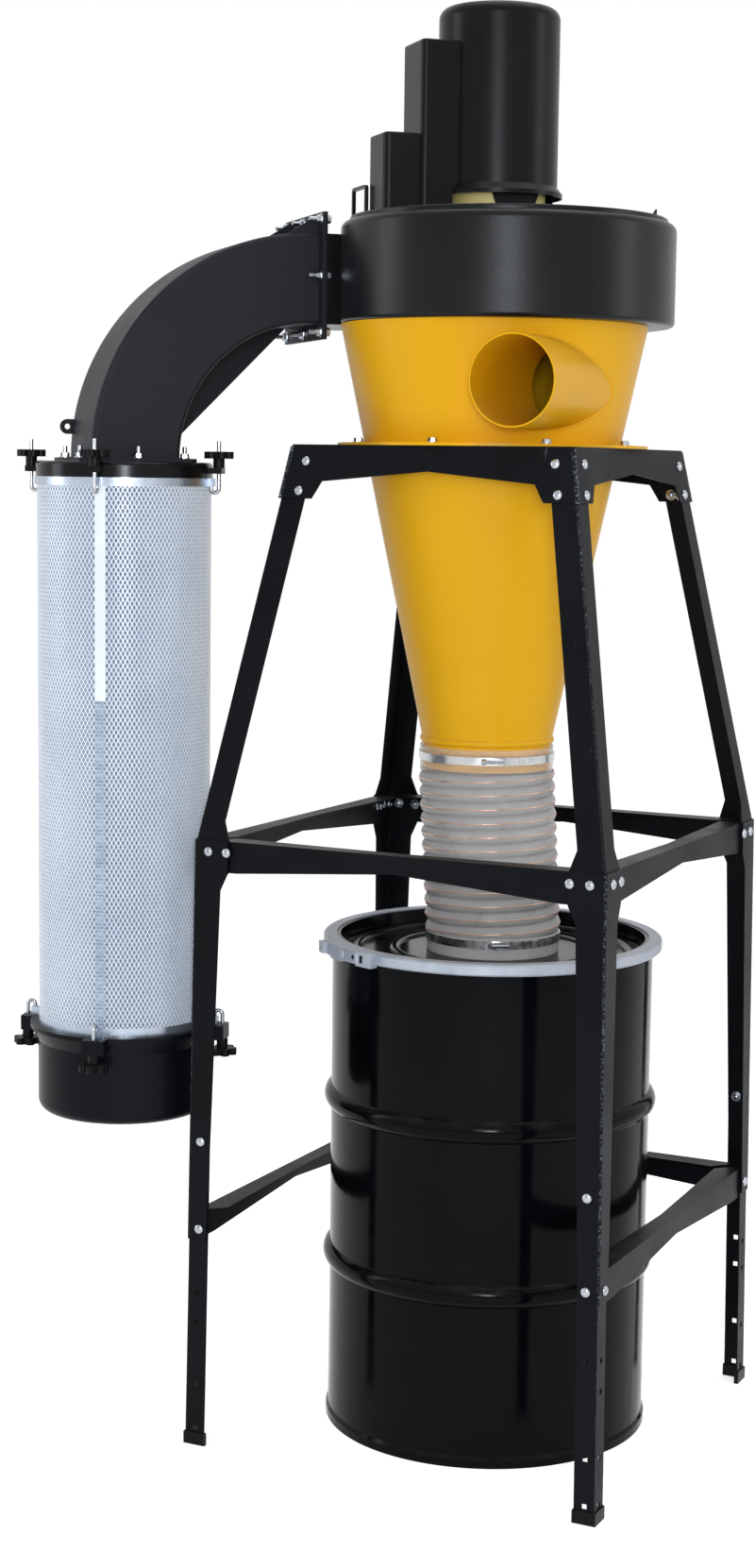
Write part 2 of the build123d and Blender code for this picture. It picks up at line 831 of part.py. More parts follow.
made.append(("filter_cap", filter_cap))

# the end rings carry small lugs that the hook bolts catch
cap_hook_at = cap_clamp_r - 2 * hook_r
pan_hook_at = pan_clamp_r - 2 * hook_r
with BuildPart() as filter_end_rings:
    for low, hook_at in ((mesh_top, cap_hook_at), (pan_top, pan_hook_at)):
        with BuildSketch(filter_plane(low)):
            Circle(end_ring_r)
            with PolarLocations((end_ring_r + hook_at) / 2, clamp_count, start_angle=clamp_turn):
                Rectangle(hook_at - end_ring_r + hook_lug, hook_lug)
            with PolarLocations(hook_at, clamp_count, start_angle=clamp_turn):
                Circle(rod_hole_r, mode=Mode.SUBTRACT)
            Circle(ring_bore_r, mode=Mode.SUBTRACT)
        extrude(amount=ring_height)
made.append(("filter_end_rings", filter_end_rings))

with BuildPart() as filter_mesh:
    with BuildSketch(filter_plane(mesh_low)):
        Circle(filter_r)
        Circle(filter_r - mesh_wall, mode=Mode.SUBTRACT)
    extrude(amount=mesh_length)
made.append(("filter_mesh", filter_mesh))

with BuildPart() as filter_core:
    with BuildSketch(filter_plane(mesh_low)):
        Circle(filter_r - mesh_wall - core_gap)
        Circle(core_bore_r, mode=Mode.SUBTRACT)
    extrude(amount=mesh_length)
made.append(("filter_core", filter_core))

block_low = pan_top - pan_block_height
taper_top = pan_top - pan_rim_height
pan_side = Plane(origin=(filter_at.X, filter_at.Y, 0), x_dir=(1, 0, 0), z_dir=(0, -1, 0))
pan_axis = Axis(origin=(filter_at.X, filter_at.Y, 0), direction=(0, 0, 1))
with BuildPart() as filter_pan:
    with BuildSketch(pan_side):
        with BuildLine():
            Polyline(
                (0, pan_low),
                (pan_r, pan_low),
                (pan_r, taper_top - pan_rim_taper),
                (pan_rim_r, taper_top),
                (pan_rim_r, pan_top),
                (0, pan_top),
                close=True,
            )
        make_face()
    revolve(axis=pan_axis)
    fillet(filter_pan.edges().group_by(Axis.Z)[0], radius=pan_round)
    with BuildSketch(filter_plane(block_low)):
        with PolarLocations(pan_clamp_r - pan_block_depth / 4, clamp_count, start_angle=clamp_turn):
            Rectangle(pan_block_depth, pan_block_width)
    extrude(amount=pan_block_height)
    with BuildSketch(filter_plane(block_low)):
        with PolarLocations(pan_clamp_r, clamp_count, start_angle=clamp_turn):
            Circle(rod_hole_r)
    extrude(amount=pan_block_height, mode=Mode.SUBTRACT)
    with BuildSketch(filter_plane(pan_low + pan_round)):
        Circle(pan_r - pan_wall)
    extrude(amount=pan_height - pan_round, mode=Mode.SUBTRACT)
made.append(("filter_pan", filter_pan))

# hook bolts: straight shanks that end in a half turn through a lug
cap_rod_top = cap_low + cap_tab_low + cap_tab_thick + cap_clamp_rise
cap_turn_z = mesh_top - rod_r
cap_tip_z = mesh_top + ring_height
pan_rod_low = block_low - hub_length - knob_thick / 2
pan_turn_z = pan_top + ring_height + rod_r
pan_tip_z = pan_top
with BuildPart() as cap_hook:
    with BuildLine(Plane.XZ):
        Line((cap_clamp_r, cap_rod_top), (cap_clamp_r, cap_turn_z))
        ThreePointArc(
            (cap_clamp_r, cap_turn_z),
            (cap_clamp_r - hook_r, cap_turn_z - hook_r),
            (cap_hook_at, cap_turn_z),
        )
        Line((cap_hook_at, cap_turn_z), (cap_hook_at, cap_tip_z))
    with BuildSketch(Plane(origin=(cap_clamp_r, 0, cap_rod_top))):
        Circle(rod_r)
    sweep()
with BuildPart() as pan_hook:
    with BuildLine(Plane.XZ):
        Line((pan_clamp_r, pan_rod_low), (pan_clamp_r, pan_turn_z))
        ThreePointArc(
            (pan_clamp_r, pan_turn_z),
            (pan_clamp_r - hook_r, pan_turn_z + hook_r),
            (pan_hook_at, pan_turn_z),
        )
        Line((pan_hook_at, pan_turn_z), (pan_hook_at, pan_tip_z))
    with BuildSketch(Plane(origin=(pan_clamp_r, 0, pan_rod_low))):
        Circle(rod_r)
    sweep()
with BuildPart() as clamp_rods:
    with Locations((filter_at.X, filter_at.Y, 0)):
        with PolarLocations(0, clamp_count, start_angle=clamp_turn):
            add(cap_hook.part)
            add(pan_hook.part)
made.append(("clamp_rods", clamp_rods))


def star_knob(hub_z, knob_z, clamp_r):
    # a hub and a lobed grip on each of the clamp bolts
    with BuildPart() as knobs:
        with BuildSketch(filter_plane(hub_z)):
            with PolarLocations(clamp_r, clamp_count, start_angle=clamp_turn):
                Circle(hub_r)
                Circle(rod_hole_r, mode=Mode.SUBTRACT)
        extrude(amount=hub_length)
        with BuildSketch(filter_plane(knob_z)):
            with PolarLocations(clamp_r, clamp_count, start_angle=clamp_turn):
                Circle(knob_r - knob_lobe_r)
                with PolarLocations(knob_r - knob_lobe_r, knob_lobes):
                    Circle(knob_lobe_r)
                Circle(rod_hole_r, mode=Mode.SUBTRACT)
        extrude(amount=knob_thick)
    return knobs


cap_knob_z = cap_low + cap_tab_low + cap_tab_thick
cap_knobs = star_knob(cap_knob_z, cap_knob_z + hub_length, cap_clamp_r)
pan_knob_z = block_low - hub_length
pan_knobs = star_knob(pan_knob_z, pan_knob_z - knob_thick, pan_clamp_r)
with BuildPart() as clamp_knobs:
    add(cap_knobs.part)
    add(pan_knobs.part)
made.append(("clamp_knobs", clamp_knobs))

# drum: rolled shell with two hoops and a chime, open at the top under its curl
drum_in = drum_r - drum_wall
drum_axis = Axis(origin=(drum_shift_x, drum_shift_y, 0), direction=(0, 0, 1))
drum_plane = Plane(origin=(drum_shift_x, drum_shift_y, 0), x_dir=(1, 0, 0), z_dir=(0, -1, 0))
chime_r = drum_r + chime_out
with BuildPart() as drum_body:
    with BuildSketch(drum_plane):
        with BuildLine():
            Polyline(
                (drum_r, hoop_low_z - hoop_half),
                (drum_r, chime_height + chime_taper),
                (chime_r, chime_height),
                (chime_r, 0),
                (chime_r - chime_width, 0),
                (chime_r - chime_width, chime_height),
                (0, chime_height),
                (0, chime_height + drum_wall),
                (drum_in, chime_height + drum_wall),
                (drum_in, hoop_low_z - hoop_half),
            )
            for r in (drum_r, drum_in):
                for z in (hoop_low_z, hoop_high_z):
                    ThreePointArc((r, z - hoop_half), (r + hoop_out, z), (r, z + hoop_half))
                Line((r, hoop_low_z + hoop_half), (r, hoop_high_z - hoop_half))
            Polyline(
                (drum_r, hoop_high_z + hoop_half),
                (drum_r, drum_height - curl_height),
                (drum_r + curl_out, drum_height - curl_height),
                (drum_r + curl_out, drum_height),
                (drum_in, drum_height),
                (drum_in, hoop_high_z + hoop_half),
            )
        make_face()
    revolve(axis=drum_axis)
made.append(("drum_body", drum_body))

# drum lid: dished plate with a hose collar standing in its middle
lid_floor = drum_height - lid_drop
rim_top = drum_height + lid_wall
lid_step = drum_r - lid_edge_in
with BuildPart() as drum_lid:
    with BuildSketch(drum_plane):
        with BuildLine():
            Polyline(
                (drum_r + lid_edge_out, drum_height),
                (drum_r + lid_edge_out, rim_top),
                (lid_step, rim_top),
                (lid_step - lid_slope, lid_floor + lid_wall),
                (collar_r, lid_floor + lid_wall),
                (collar_r, lid_floor + lid_collar_height),
                (collar_r - lid_wall, lid_floor + lid_collar_height),
                (collar_r - lid_wall, lid_floor),
                (lid_step + lid_wall - lid_slope, lid_floor),
                (lid_step + lid_wall, drum_height),
                close=True,
            )
        make_face()
    revolve(axis=drum_axis)
made.append(("drum_lid", drum_lid))

# clamp ring: channel that draws lid and drum curl together
ring_r = drum_r + ring_stand
ring_low = drum_height - ring_drop
ring_high = rim_top + lid_wall
ring_mid = (ring_low + ring_high) / 2
ring_seat = drum_r + curl_out / 5
with BuildPart() as drum_ring:
    with BuildSketch(drum_plane):
        with BuildLine():
            Polyline(
                (ring_seat, ring_low),
                (ring_r - ring_round, ring_low),
                (ring_r, ring_low + ring_round),
                (ring_r, ring_high - ring_round),
                (ring_r - ring_round, ring_high),
                (drum_r - ring_over, ring_high),
                (drum_r - ring_over, rim_top),
                (ring_r - ring_wall, rim_top),
                (ring_r - ring_wall, ring_low + lid_wall),
                (ring_seat, ring_low + lid_wall),
                close=True,
            )
        make_face()
    revolve(axis=drum_axis)
made.append(("drum_ring", drum_ring))


def ring_section(turn):
    # upright plane through the drum's axis at a turn round it
    out = (cos(radians(turn)), sin(radians(turn)), 0)
    across = (sin(radians(turn)), -cos(radians(turn)), 0)
    return Plane(origin=(drum_shift_x, drum_shift_y, ring_mid), x_dir=out, z_dir=across)


# over-centre lever that lies along the ring, with a pivot block at its end
lever_start = lever_turn - lever_arc / 2
lever_end = lever_turn + lever_arc / 2
with BuildPart() as ring_lever:
    with BuildSketch(ring_section(lever_start)):
        with Locations((ring_r + lever_thick / 2, 0)):
            Rectangle(lever_thick, lever_height)
    revolve(axis=drum_axis, revolution_arc=lever_arc)
    for turn in (lever_end - latch_arc, lever_turn - latch_arc):
        with BuildSketch(ring_section(turn)):
            with Locations((ring_r + latch_thick / 2, 0)):
                Rectangle(latch_thick, latch_height)
        revolve(axis=drum_axis, revolution_arc=latch_arc)
made.append(("ring_lever", ring_lever))

# drum hose: straight cuffs over both collars, ribbed rings stepping across between
hose_top = bead_end - hose_gap
hose_low = lid_floor + lid_wall
upper_cuff = hose_top - hose_cuff
lower_cuff = hose_low + lid_collar_height
cuff_r = collar_r + hose_cuff_wall
rib_count = round((upper_cuff - lower_cuff) / hose_pitch)
rib_height = (upper_cuff - lower_cuff) / rib_count
with BuildPart() as drum_hose:
    with BuildSketch(Plane.XY.offset(upper_cuff)):
        Circle(cuff_r)
        Circle(collar_r, mode=Mode.SUBTRACT)
    extrude(amount=hose_cuff)
    with BuildSketch(Plane(origin=(drum_shift_x, drum_shift_y, hose_low))):
        Circle(cuff_r)
        Circle(collar_r, mode=Mode.SUBTRACT)
    extrude(amount=lid_collar_height)
    for rib in range(rib_count):
        share = (rib + 0.5) / rib_count
        low = lower_cuff + rib * rib_height
        at = (drum_shift_x * (1 - share), drum_shift_y * (1 - share), low)
        rib_plane = Plane(origin=at, x_dir=(1, 0, 0), z_dir=(0, -1, 0))
        with BuildSketch(rib_plane):
            with BuildLine():
                Polyline(
                    (collar_r + hose_wall, rib_height),
                    (collar_r - hose_wall, rib_height),
                    (collar_r - hose_wall, 0),
                    (collar_r + hose_wall, 0),
                )
                ThreePointArc(
                    (collar_r + hose_wall, 0),
                    (collar_r + hose_out, rib_height / 2),
                    (collar_r + hose_wall, rib_height),
                )
            make_face()
        revolve(axis=Axis(origin=at, direction=(0, 0, 1)))
made.append(("drum_hose", drum_hose))

# worm clamps, one on each cuff, with the screw housing to the front
band_high = hose_top - band_high_drop
band_low = hose_low + band_low_rise
worm_out = (cos(radians(worm_turn)), sin(radians(worm_turn)), 0)
with BuildPart() as hose_clamps:
    for at in ((0, 0, band_high), (drum_shift_x, drum_shift_y, band_low)):
        band_plane = Plane(origin=at, x_dir=worm_out, z_dir=(0, 0, 1))
        with BuildSketch(band_plane):
            Circle(cuff_r + band_thick)
            Circle(cuff_r, mode=Mode.SUBTRACT)
        extrude(amount=band_width)
        with BuildSketch(band_plane.offset((band_width - worm_height) / 2)):
            with Locations((cuff_r + worm_thick / 2, 0)):
                Rectangle(worm_thick, worm_length)
            Circle(cuff_r + band_thick / 2, mode=Mode.SUBTRACT)
        extrude(amount=worm_height)
made.append(("hose_clamps", hose_clamps))

# the part's origin is the middle of its footprint, on the floor
boxes = [node.part.bounding_box() for name, node in made]
mid_x = (min(box.min.X for box in boxes) + max(box.max.X for box in boxes)) / 2
mid_y = (min(box.min.Y for box in boxes) + max(box.max.Y for box in boxes)) / 2
to_middle = Location((-mid_x, -mid_y, 0))
for name, node in made:
    piece = node.part.moved(to_middle)
    piece.label = name
    export_step(piece, "parts/" + name + ".step")
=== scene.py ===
import bpy, bmesh, math
from mathutils import Euler, Matrix, Vector


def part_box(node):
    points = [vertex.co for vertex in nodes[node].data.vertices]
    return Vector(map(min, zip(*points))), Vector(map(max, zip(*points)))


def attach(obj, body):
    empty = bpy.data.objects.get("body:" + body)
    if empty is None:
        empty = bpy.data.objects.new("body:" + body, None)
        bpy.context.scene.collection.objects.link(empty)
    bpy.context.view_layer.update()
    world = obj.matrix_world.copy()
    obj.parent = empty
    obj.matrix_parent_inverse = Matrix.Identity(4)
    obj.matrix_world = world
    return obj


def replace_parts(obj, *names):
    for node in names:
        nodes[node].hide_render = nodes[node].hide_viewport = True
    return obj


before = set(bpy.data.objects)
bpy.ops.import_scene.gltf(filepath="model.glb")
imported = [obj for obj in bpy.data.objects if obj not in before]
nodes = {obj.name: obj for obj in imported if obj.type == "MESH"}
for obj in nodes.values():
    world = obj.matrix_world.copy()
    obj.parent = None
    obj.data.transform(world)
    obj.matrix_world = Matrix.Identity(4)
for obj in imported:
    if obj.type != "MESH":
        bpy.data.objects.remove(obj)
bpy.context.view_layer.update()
mm = 0.001
print("frame loaded:", len(nodes), "nodes")


def middle(node):
    low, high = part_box(node)
    return (low + high) / 2


def atHeight(centre, height):
    return Vector((centre.x, centre.y, height))


def outAt(turn):
    return Vector((math.cos(turn), math.sin(turn), 0))


axis = middle("head_shell")  # the cone's upright axis
drumAxis = middle("drum_body")
filterAxis = middle("filter_mesh")
standFoot = atHeight(axis, 0)
straightUp = (0, 0, 1)


# small modelling helpers

uprightShare = 0.9  # how much of a normal or of an edge has to point up
sharpFrom = 32  # degrees between two faces from which their edge stays sharp
roundFrom = 60  # the same for domes, beads and the hose
mergeReach = 0.15 * mm


def clearPicks():
    if bpy.context.object and bpy.context.object.mode != "OBJECT":
        bpy.ops.object.mode_set(mode="OBJECT")
    bpy.ops.object.select_all(action="DESELECT")


def take(*pieces):
    clearPicks()
    for piece in pieces:
        piece.select_set(True)
    bpy.context.view_layer.objects.active = pieces[-1]


def opened(piece):
    take(piece)
    bpy.ops.object.mode_set(mode="EDIT")


def started(name):
    # the primitive just added becomes the named piece, opened for editing
    piece = bpy.context.object
    piece.name = name
    bpy.ops.object.mode_set(mode="EDIT")
    bpy.ops.mesh.select_all(action="DESELECT")
    return piece


def addRound(name, sides, radius, depth, place, ends="NGON"):
    # a round bar, or an open tube where it has no ends
    clearPicks()
    bpy.ops.mesh.primitive_cylinder_add(
        vertices=sides, radius=radius, depth=depth, end_fill_type=ends, location=place)
    return started(name)


def addBlock(name, size, place):
    clearPicks()
    bpy.ops.mesh.primitive_cube_add(size=1, location=place, scale=size)
    return started(name)


def addHoop(name, sides, radius, place):
    # a ring of edges that stands upright and faces the front
    clearPicks()
    bpy.ops.mesh.primitive_circle_add(
        vertices=sides, radius=radius, rotation=(math.pi / 2, 0, 0), location=place)
    return started(name)


def pick(kind, test):
    # selects those vertices, edges or faces of the piece being edited that pass the test
    modes = {"verts": "VERT", "edges": "EDGE", "faces": "FACE"}
    bpy.ops.mesh.select_all(action="DESELECT")
    bpy.ops.mesh.select_mode(type=modes[kind])
    mesh = bpy.context.object.data
    work = bmesh.from_edit_mesh(mesh)
    for bit in getattr(work, kind):
        if test(bit):
            bit.select_set(True)
    bmesh.update_edit_mesh(mesh)


def everyBit(bit):
    return True


def faceUp(face):
    return face.normal.z > uprightShare


def isUpright(edge):
    one, two = edge.verts
    return abs(one.co.z - two.co.z) > uprightShare * edge.calc_length()


def stepUp(inward, rise):
    # insets the picked face and lifts or sinks the inner one
    bpy.ops.mesh.inset(thickness=inward, depth=0)
    bpy.ops.transform.translate(value=(0, 0, rise))


def cutInRows(rows):
    pick("edges", isUpright)
    bpy.ops.mesh.subdivide(number_cuts=rows - 1)


def openFaces(rim):
    # leaves only a rim of each face
    pick("faces", everyBit)
    bpy.ops.mesh.inset(thickness=rim, depth=0, use_individual=True, use_boundary=True)
    bpy.ops.mesh.delete(type="FACE")


def applyAll(piece):
    take(piece)
    for modifier in list(piece.modifiers):
        bpy.ops.object.modifier_apply(modifier=modifier.name)


def walled(piece, thickness):
    wall = piece.modifiers.new("wall", "SOLIDIFY")
    wall.thickness = thickness
    wall.offset = -1
    applyAll(piece)


def cutBy(piece, cutter):
    # takes the cutter's shape out of the piece
    cut = piece.modifiers.new("cut", "BOOLEAN")
    cut.object = cutter
    cut.solver = "EXACT"
    applyAll(piece)
    bpy.data.objects.remove(cutter)


def placed(piece):
    # puts the place into the mesh
    take(piece)
    bpy.ops.object.transform_apply(location=True, rotation=True, scale=True)
    return piece


def settled(piece, angle=sharpFrom):
    # puts the place into the mesh and smooths what isn't a sharp edge
    placed(piece)
    bpy.ops.object.shade_smooth_by_angle(angle=math.radians(angle))
    return piece


def facingOut(piece):
    opened(piece)
    bpy.ops.mesh.select_all(action="SELECT")
    bpy.ops.mesh.remove_doubles(threshold=mergeReach)
    bpy.ops.mesh.normals_make_consistent(inside=False)
    bpy.ops.object.mode_set(mode="OBJECT")


def joined(name, *pieces):
    take(*pieces)
    if len(pieces) > 1:
        bpy.ops.object.join()
    whole = bpy.context.object
    whole.name = name
    return whole


def copies(master, name, spots):
    # one copy with its own mesh at each spot, all as one piece
    made = []
    for spot in spots:
        twin = bpy.data.objects.new(name, master.data.copy())
        bpy.context.scene.collection.objects.link(twin)
        twin.data.transform(spot)
        made.append(twin)
    bpy.data.objects.remove(master)
    return joined(name, *made)


def spotAt(place, outward):
    turn = Vector(outward).to_track_quat("Z", "Y").to_matrix().to_4x4()
    return Matrix.Translation(place) @ turn


def dressed(piece, material):
    piece.data.materials.clear()
    piece.data.materials.append(material)
    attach(piece, "root")
    return piece


# shader nodes, and groups of them that several finishes share

def fillNode(tree, node, values):
    # each value is set on its socket or, where it is another node's output, linked to it
    for key, value in values.items():
        if isinstance(value, bpy.types.NodeSocket):
            tree.links.new(value, node.inputs[key])
        else:
            node.inputs[key].default_value = value


def addNode(tree, kind, values=None, **settings):
    node = tree.nodes.new(kind)
    for key, value in settings.items():
        setattr(node, key, value)
    fillNode(tree, node, values or {})
    return node


def noiseIn(tree, place, scale, detail, rough=0.5):
    values = {"Vector": place, "Scale": scale, "Detail": detail, "Roughness": rough}
    return addNode(tree, "ShaderNodeTexNoise", values).outputs["Fac"]


def rangeIn(tree, value, low, high, toLow=0.0, toHigh=1.0):
    values = {"Value": value, "From Min": low, "From Max": high, "To Min": toLow, "To Max": toHigh}
    return addNode(tree, "ShaderNodeMapRange", values).outputs["Result"]


def mathIn(tree, operation, *values):
    return addNode(tree, "ShaderNodeMath", dict(enumerate(values)), operation=operation).outputs[0]


def mixIn(tree, mask, under, over):
    # a Mix node has its two colours at inputs 6 and 7, and its mixed colour at output 2
    values = {"Factor": mask, 6: under, 7: over}
    return addNode(tree, "ShaderNodeMix", values, data_type="RGBA").outputs[2]


def newGroup(name, takes, gives):
    # a group that takes a place and some numbers and gives one number
    group = bpy.data.node_groups.new(name, "ShaderNodeTree")
    addSocket = group.interface.new_socket
    addSocket(name="Vector", in_out="INPUT", socket_type="NodeSocketVector")
    for label, value in takes.items():
        addSocket(name=label, in_out="INPUT", socket_type="NodeSocketFloat").default_value = value
    addSocket(name=gives, in_out="OUTPUT", socket_type="NodeSocketFloat")
    return group, group.nodes.new("NodeGroupInput").outputs


def closeGroup(group, result):
    group.links.new(result, group.nodes.new("NodeGroupOutput").inputs[0])
    return group


def closeMask(group, first, second, amount):
    # where both are white, as far as the amount says
    both = mathIn(group, "MULTIPLY", first, second)
    share = addNode(group, "ShaderNodeMath", {0: both, 1: amount}, operation="MULTIPLY", use_clamp=True)
    return closeGroup(group, share.outputs[0])


def makeOrangePeel():
    # two sizes of ripple, as sprayed paint or powder coat dries
    group, given = newGroup("orangePeel", {"Scale": 300.0}, "Height")
    coarseScale = mathIn(group, "MULTIPLY", given["Scale"], 0.3)
    fine = noiseIn(group, given["Vector"], given["Scale"], detail=2.0)
    coarse = noiseIn(group, given["Vector"], coarseScale, detail=1.0)
    blend = addNode(group, "ShaderNodeMix", {"Factor": 0.4, "A": fine, "B": coarse})
    return closeGroup(group, blend.outputs["Result"])


def makeColourDrift():
    # slow change of tone over a painted sheet
    group, given = newGroup("colourDrift", {"Scale": 3.0}, "Factor")
    cloud = noiseIn(group, given["Vector"], given["Scale"], detail=4.0, rough=0.6)
    return closeGroup(group, rangeIn(group, cloud, 0.35, 0.65))


def makeDustFilm():
    # dust that settles in patches on faces turned upwards
    group, given = newGroup("dustFilm", {"Scale": 22.0, "Amount": 0.3}, "Mask")
    normal = addNode(group, "ShaderNodeNewGeometry").outputs["Normal"]
    parts = addNode(group, "ShaderNodeSeparateXYZ", {"Vector": normal}).outputs
    patch = noiseIn(group, given["Vector"], given["Scale"], detail=6.0, rough=0.65)
    upward = rangeIn(group, parts["Z"], 0.2, 0.95)
    return closeMask(group, upward, rangeIn(group, patch, 0.36, 0.68), given["Amount"])


def makeFineScratches():
    # thin broken lines, from noise drawn out along one slanting direction
    group, given = newGroup("fineScratches", {"Scale": 40.0, "Amount": 0.5}, "Mask")
    turned = {"Vector": given["Vector"], "Rotation": (0.5, 0.35, 0.6), "Scale": (1.0, 1.0, 0.04)}
    slant = addNode(group, "ShaderNodeMapping", turned).outputs["Vector"]
    streak = noiseIn(group, slant, given["Scale"], detail=3.0, rough=0.7)
    cloud = noiseIn(group, given["Vector"], 7.0, detail=2.0)
    thin = rangeIn(group, streak, 0.7, 0.76)
    return closeMask(group, thin, rangeIn(group, cloud, 0.5, 0.62), given["Amount"])


# half widths of the stand at its feet, at the bend of its legs and at its top, and those two heights
standLines = {"foot": 390 * mm, "fold": 378 * mm, "foldZ": 1076 * mm, "top": 257 * mm, "topZ": 1746 * mm}
wearAndSheenBand = 5 * mm  # how far from a corner the worn paint and painted highlight reach


def makeCornerWearAndSheen():
    # pale, dotted lines down the bent corners of the stand's angles: partly worn paint, partly a painted
    # highlight along the corner's round
    group, given = newGroup("cornerRub", {"Amount": 0.6}, "Mask")
    toAxis = {"Vector": given["Vector"], "Location": (-axis.x, -axis.y, 0.0)}
    centred = addNode(group, "ShaderNodeMapping", toAxis).outputs["Vector"]
    sizes = addNode(group, "ShaderNodeVectorMath", {0: centred}, operation="ABSOLUTE").outputs["Vector"]
    parts = addNode(group, "ShaderNodeSeparateXYZ", {"Vector": sizes}).outputs
    least = mathIn(group, "MINIMUM", parts["X"], parts["Y"])
    foldZ = standLines["foldZ"]
    lower = rangeIn(group, parts["Z"], 0.0, foldZ, standLines["foot"], standLines["fold"])
    drawnIn = standLines["fold"] - standLines["top"]
    upper = rangeIn(group, parts["Z"], foldZ, standLines["topZ"], 0.0, drawnIn)
    half = mathIn(group, "SUBTRACT", lower, upper)
    near = rangeIn(group, mathIn(group, "SUBTRACT", half, least), wearAndSheenBand, 0.0)
    dots = noiseIn(group, given["Vector"], 260.0, detail=3.0, rough=0.7)
    return closeMask(group, near, rangeIn(group, dots, 0.5, 0.66), given["Amount"])


groups = {
    "peel": makeOrangePeel(),
    "drift": makeColourDrift(),
    "dust": makeDustFilm(),
    "scratch": makeFineScratches(),
    "rub": makeCornerWearAndSheen(),
}
print("shader groups ready")

dustDulling = 0.35  # how much rougher a face is under full dust


def groupIn(tree, key, coord, values):
    node = addNode(tree, "ShaderNodeGroup", {"Vector": coord, **values}, node_tree=groups[key])
    return node.outputs[0]


def makeFinish(name, look):
    # a painted, moulded or plated surface from its own values
    material = bpy.data.materials.new(name)
    material.use_nodes = True
    tree = material.node_tree
    coord = addNode(tree, "ShaderNodeTexCoord").outputs["Object"]
    drift = groupIn(tree, "drift", coord, {"Scale": look.get("driftScale", 3.0)})
    colour = mixIn(tree, drift, *[(*tone, 1.0) for tone in look["tones"]])
    for key in ("rub", "scratch", "dust"):
        if key in look:
            mask = groupIn(tree, key, coord, look[key]["values"])
            colour = mixIn(tree, mask, colour, (*look[key]["tint"], 1.0))
    rough = rangeIn(tree, drift, 0.0, 1.0, *look["rough"])
    if "dust" in look:
        rough = mathIn(tree, "MULTIPLY_ADD", mask, dustDulling, rough)
    grain, strength, distance = look["bump"]
    relief = groupIn(tree, "peel", coord, {"Scale": grain})
    bump = addNode(tree, "ShaderNodeBump", {"Height": relief, "Strength": strength, "Distance": distance})
    fillNode(tree, tree.nodes["Principled BSDF"], {
        "Base Color": colour, "Roughness": rough, "Normal": bump.outputs["Normal"],
        "Metallic": look.get("metallic", 0.0), "Specular IOR Level": look.get("specular", 0.5),
        "Transmission Weight": look.get("transmission", 0.0), "IOR": look.get("ior", 1.45)})
    return material


def dustOf(amount, scale=22.0, tint=(0.32, 0.3, 0.27)):
    return {"values": {"Amount": amount, "Scale": scale}, "tint": tint}


def scratchOf(amount, scale=40.0, tint=(0.3, 0.3, 0.3)):
    return {"values": {"Amount": amount, "Scale": scale}, "tint": tint}


# tones are the two colours a finish drifts between, bump is grain, strength and distance
standPowder = makeFinish("standPowder", {
    "tones": ((0.0028, 0.0031, 0.0042), (0.0046, 0.005, 0.0065)), "driftScale": 5.0,
    "rough": (0.36, 0.48), "specular": 0.09, "bump": (520.0, 0.22, 0.0006),
    # pale corner lines: worn paint and a painted highlight
    "rub": {"values": {"Amount": 0.75}, "tint": (0.3, 0.34, 0.4)},
    "scratch": scratchOf(0.3, 46.0, (0.2, 0.21, 0.23)), "dust": dustOf(0.05)})
blowerPaint = makeFinish("blowerPaint", {
    "tones": ((0.0036, 0.004, 0.005), (0.0055, 0.006, 0.0072)),
    "rough": (0.27, 0.35), "specular": 0.2, "bump": (420.0, 0.26, 0.0008),
    "scratch": scratchOf(0.12), "dust": dustOf(0.035)})
motorPaint = makeFinish("motorPaint", {
    "tones": ((0.0036, 0.004, 0.005), (0.0055, 0.006, 0.0072)),
    "rough": (0.28, 0.36), "specular": 0.14, "bump": (480.0, 0.2, 0.0006),
    "scratch": scratchOf(0.1, 52.0), "dust": dustOf(0.03)})
elbowShell = makeFinish("elbowShell", {
    "tones": ((0.0092, 0.0104, 0.0142), (0.0128, 0.014, 0.0182)), "driftScale": 4.0,
    "rough": (0.44, 0.56), "specular": 0.18, "bump": (650.0, 0.45, 0.0009),
    "scratch": scratchOf(0.24, 60.0, (0.1, 0.1, 0.1)), "dust": dustOf(0.04)})
capGloss = makeFinish("capGloss", {
    "tones": ((0.003, 0.0032, 0.004), (0.005, 0.0053, 0.0064)),
    "rough": (0.14, 0.22), "specular": 0.16, "bump": (160.0, 0.08, 0.0006), "dust": dustOf(0.05)})
panPlastic = makeFinish("panPlastic", {
    "tones": ((0.0028, 0.0034, 0.005), (0.0045, 0.0053, 0.0075)),
    "rough": (0.28, 0.4), "specular": 0.1, "bump": (380.0, 0.16, 0.0006),
    "scratch": scratchOf(0.16), "dust": dustOf(0.06)})
knobPlastic = makeFinish("knobPlastic", {
    "tones": ((0.003, 0.0032, 0.0038), (0.005, 0.0053, 0.0062)), "driftScale": 14.0,
    "rough": (0.32, 0.46), "specular": 0.12, "bump": (900.0, 0.22, 0.0005), "dust": dustOf(0.06)})
drumEnamel = makeFinish("drumEnamel", {
    "tones": ((0.0013, 0.0015, 0.0022), (0.0022, 0.0024, 0.0034)), "driftScale": 6.0,
    "rough": (0.1, 0.17), "specular": 0.075, "bump": (26.0, 0.05, 0.003),
    "scratch": scratchOf(0.2, 30.0, (0.14, 0.14, 0.13)), "dust": dustOf(0.06)})
ringSteel = makeFinish("ringSteel", {
    "tones": ((0.38, 0.41, 0.47), (0.46, 0.49, 0.55)), "driftScale": 30.0,
    "rough": (0.36, 0.5), "metallic": 0.3, "specular": 0.4, "bump": (240.0, 0.25, 0.0006),
    "scratch": scratchOf(0.45, 60.0, (0.22, 0.22, 0.23)), "dust": dustOf(0.3, 30.0, (0.46, 0.44, 0.42))})
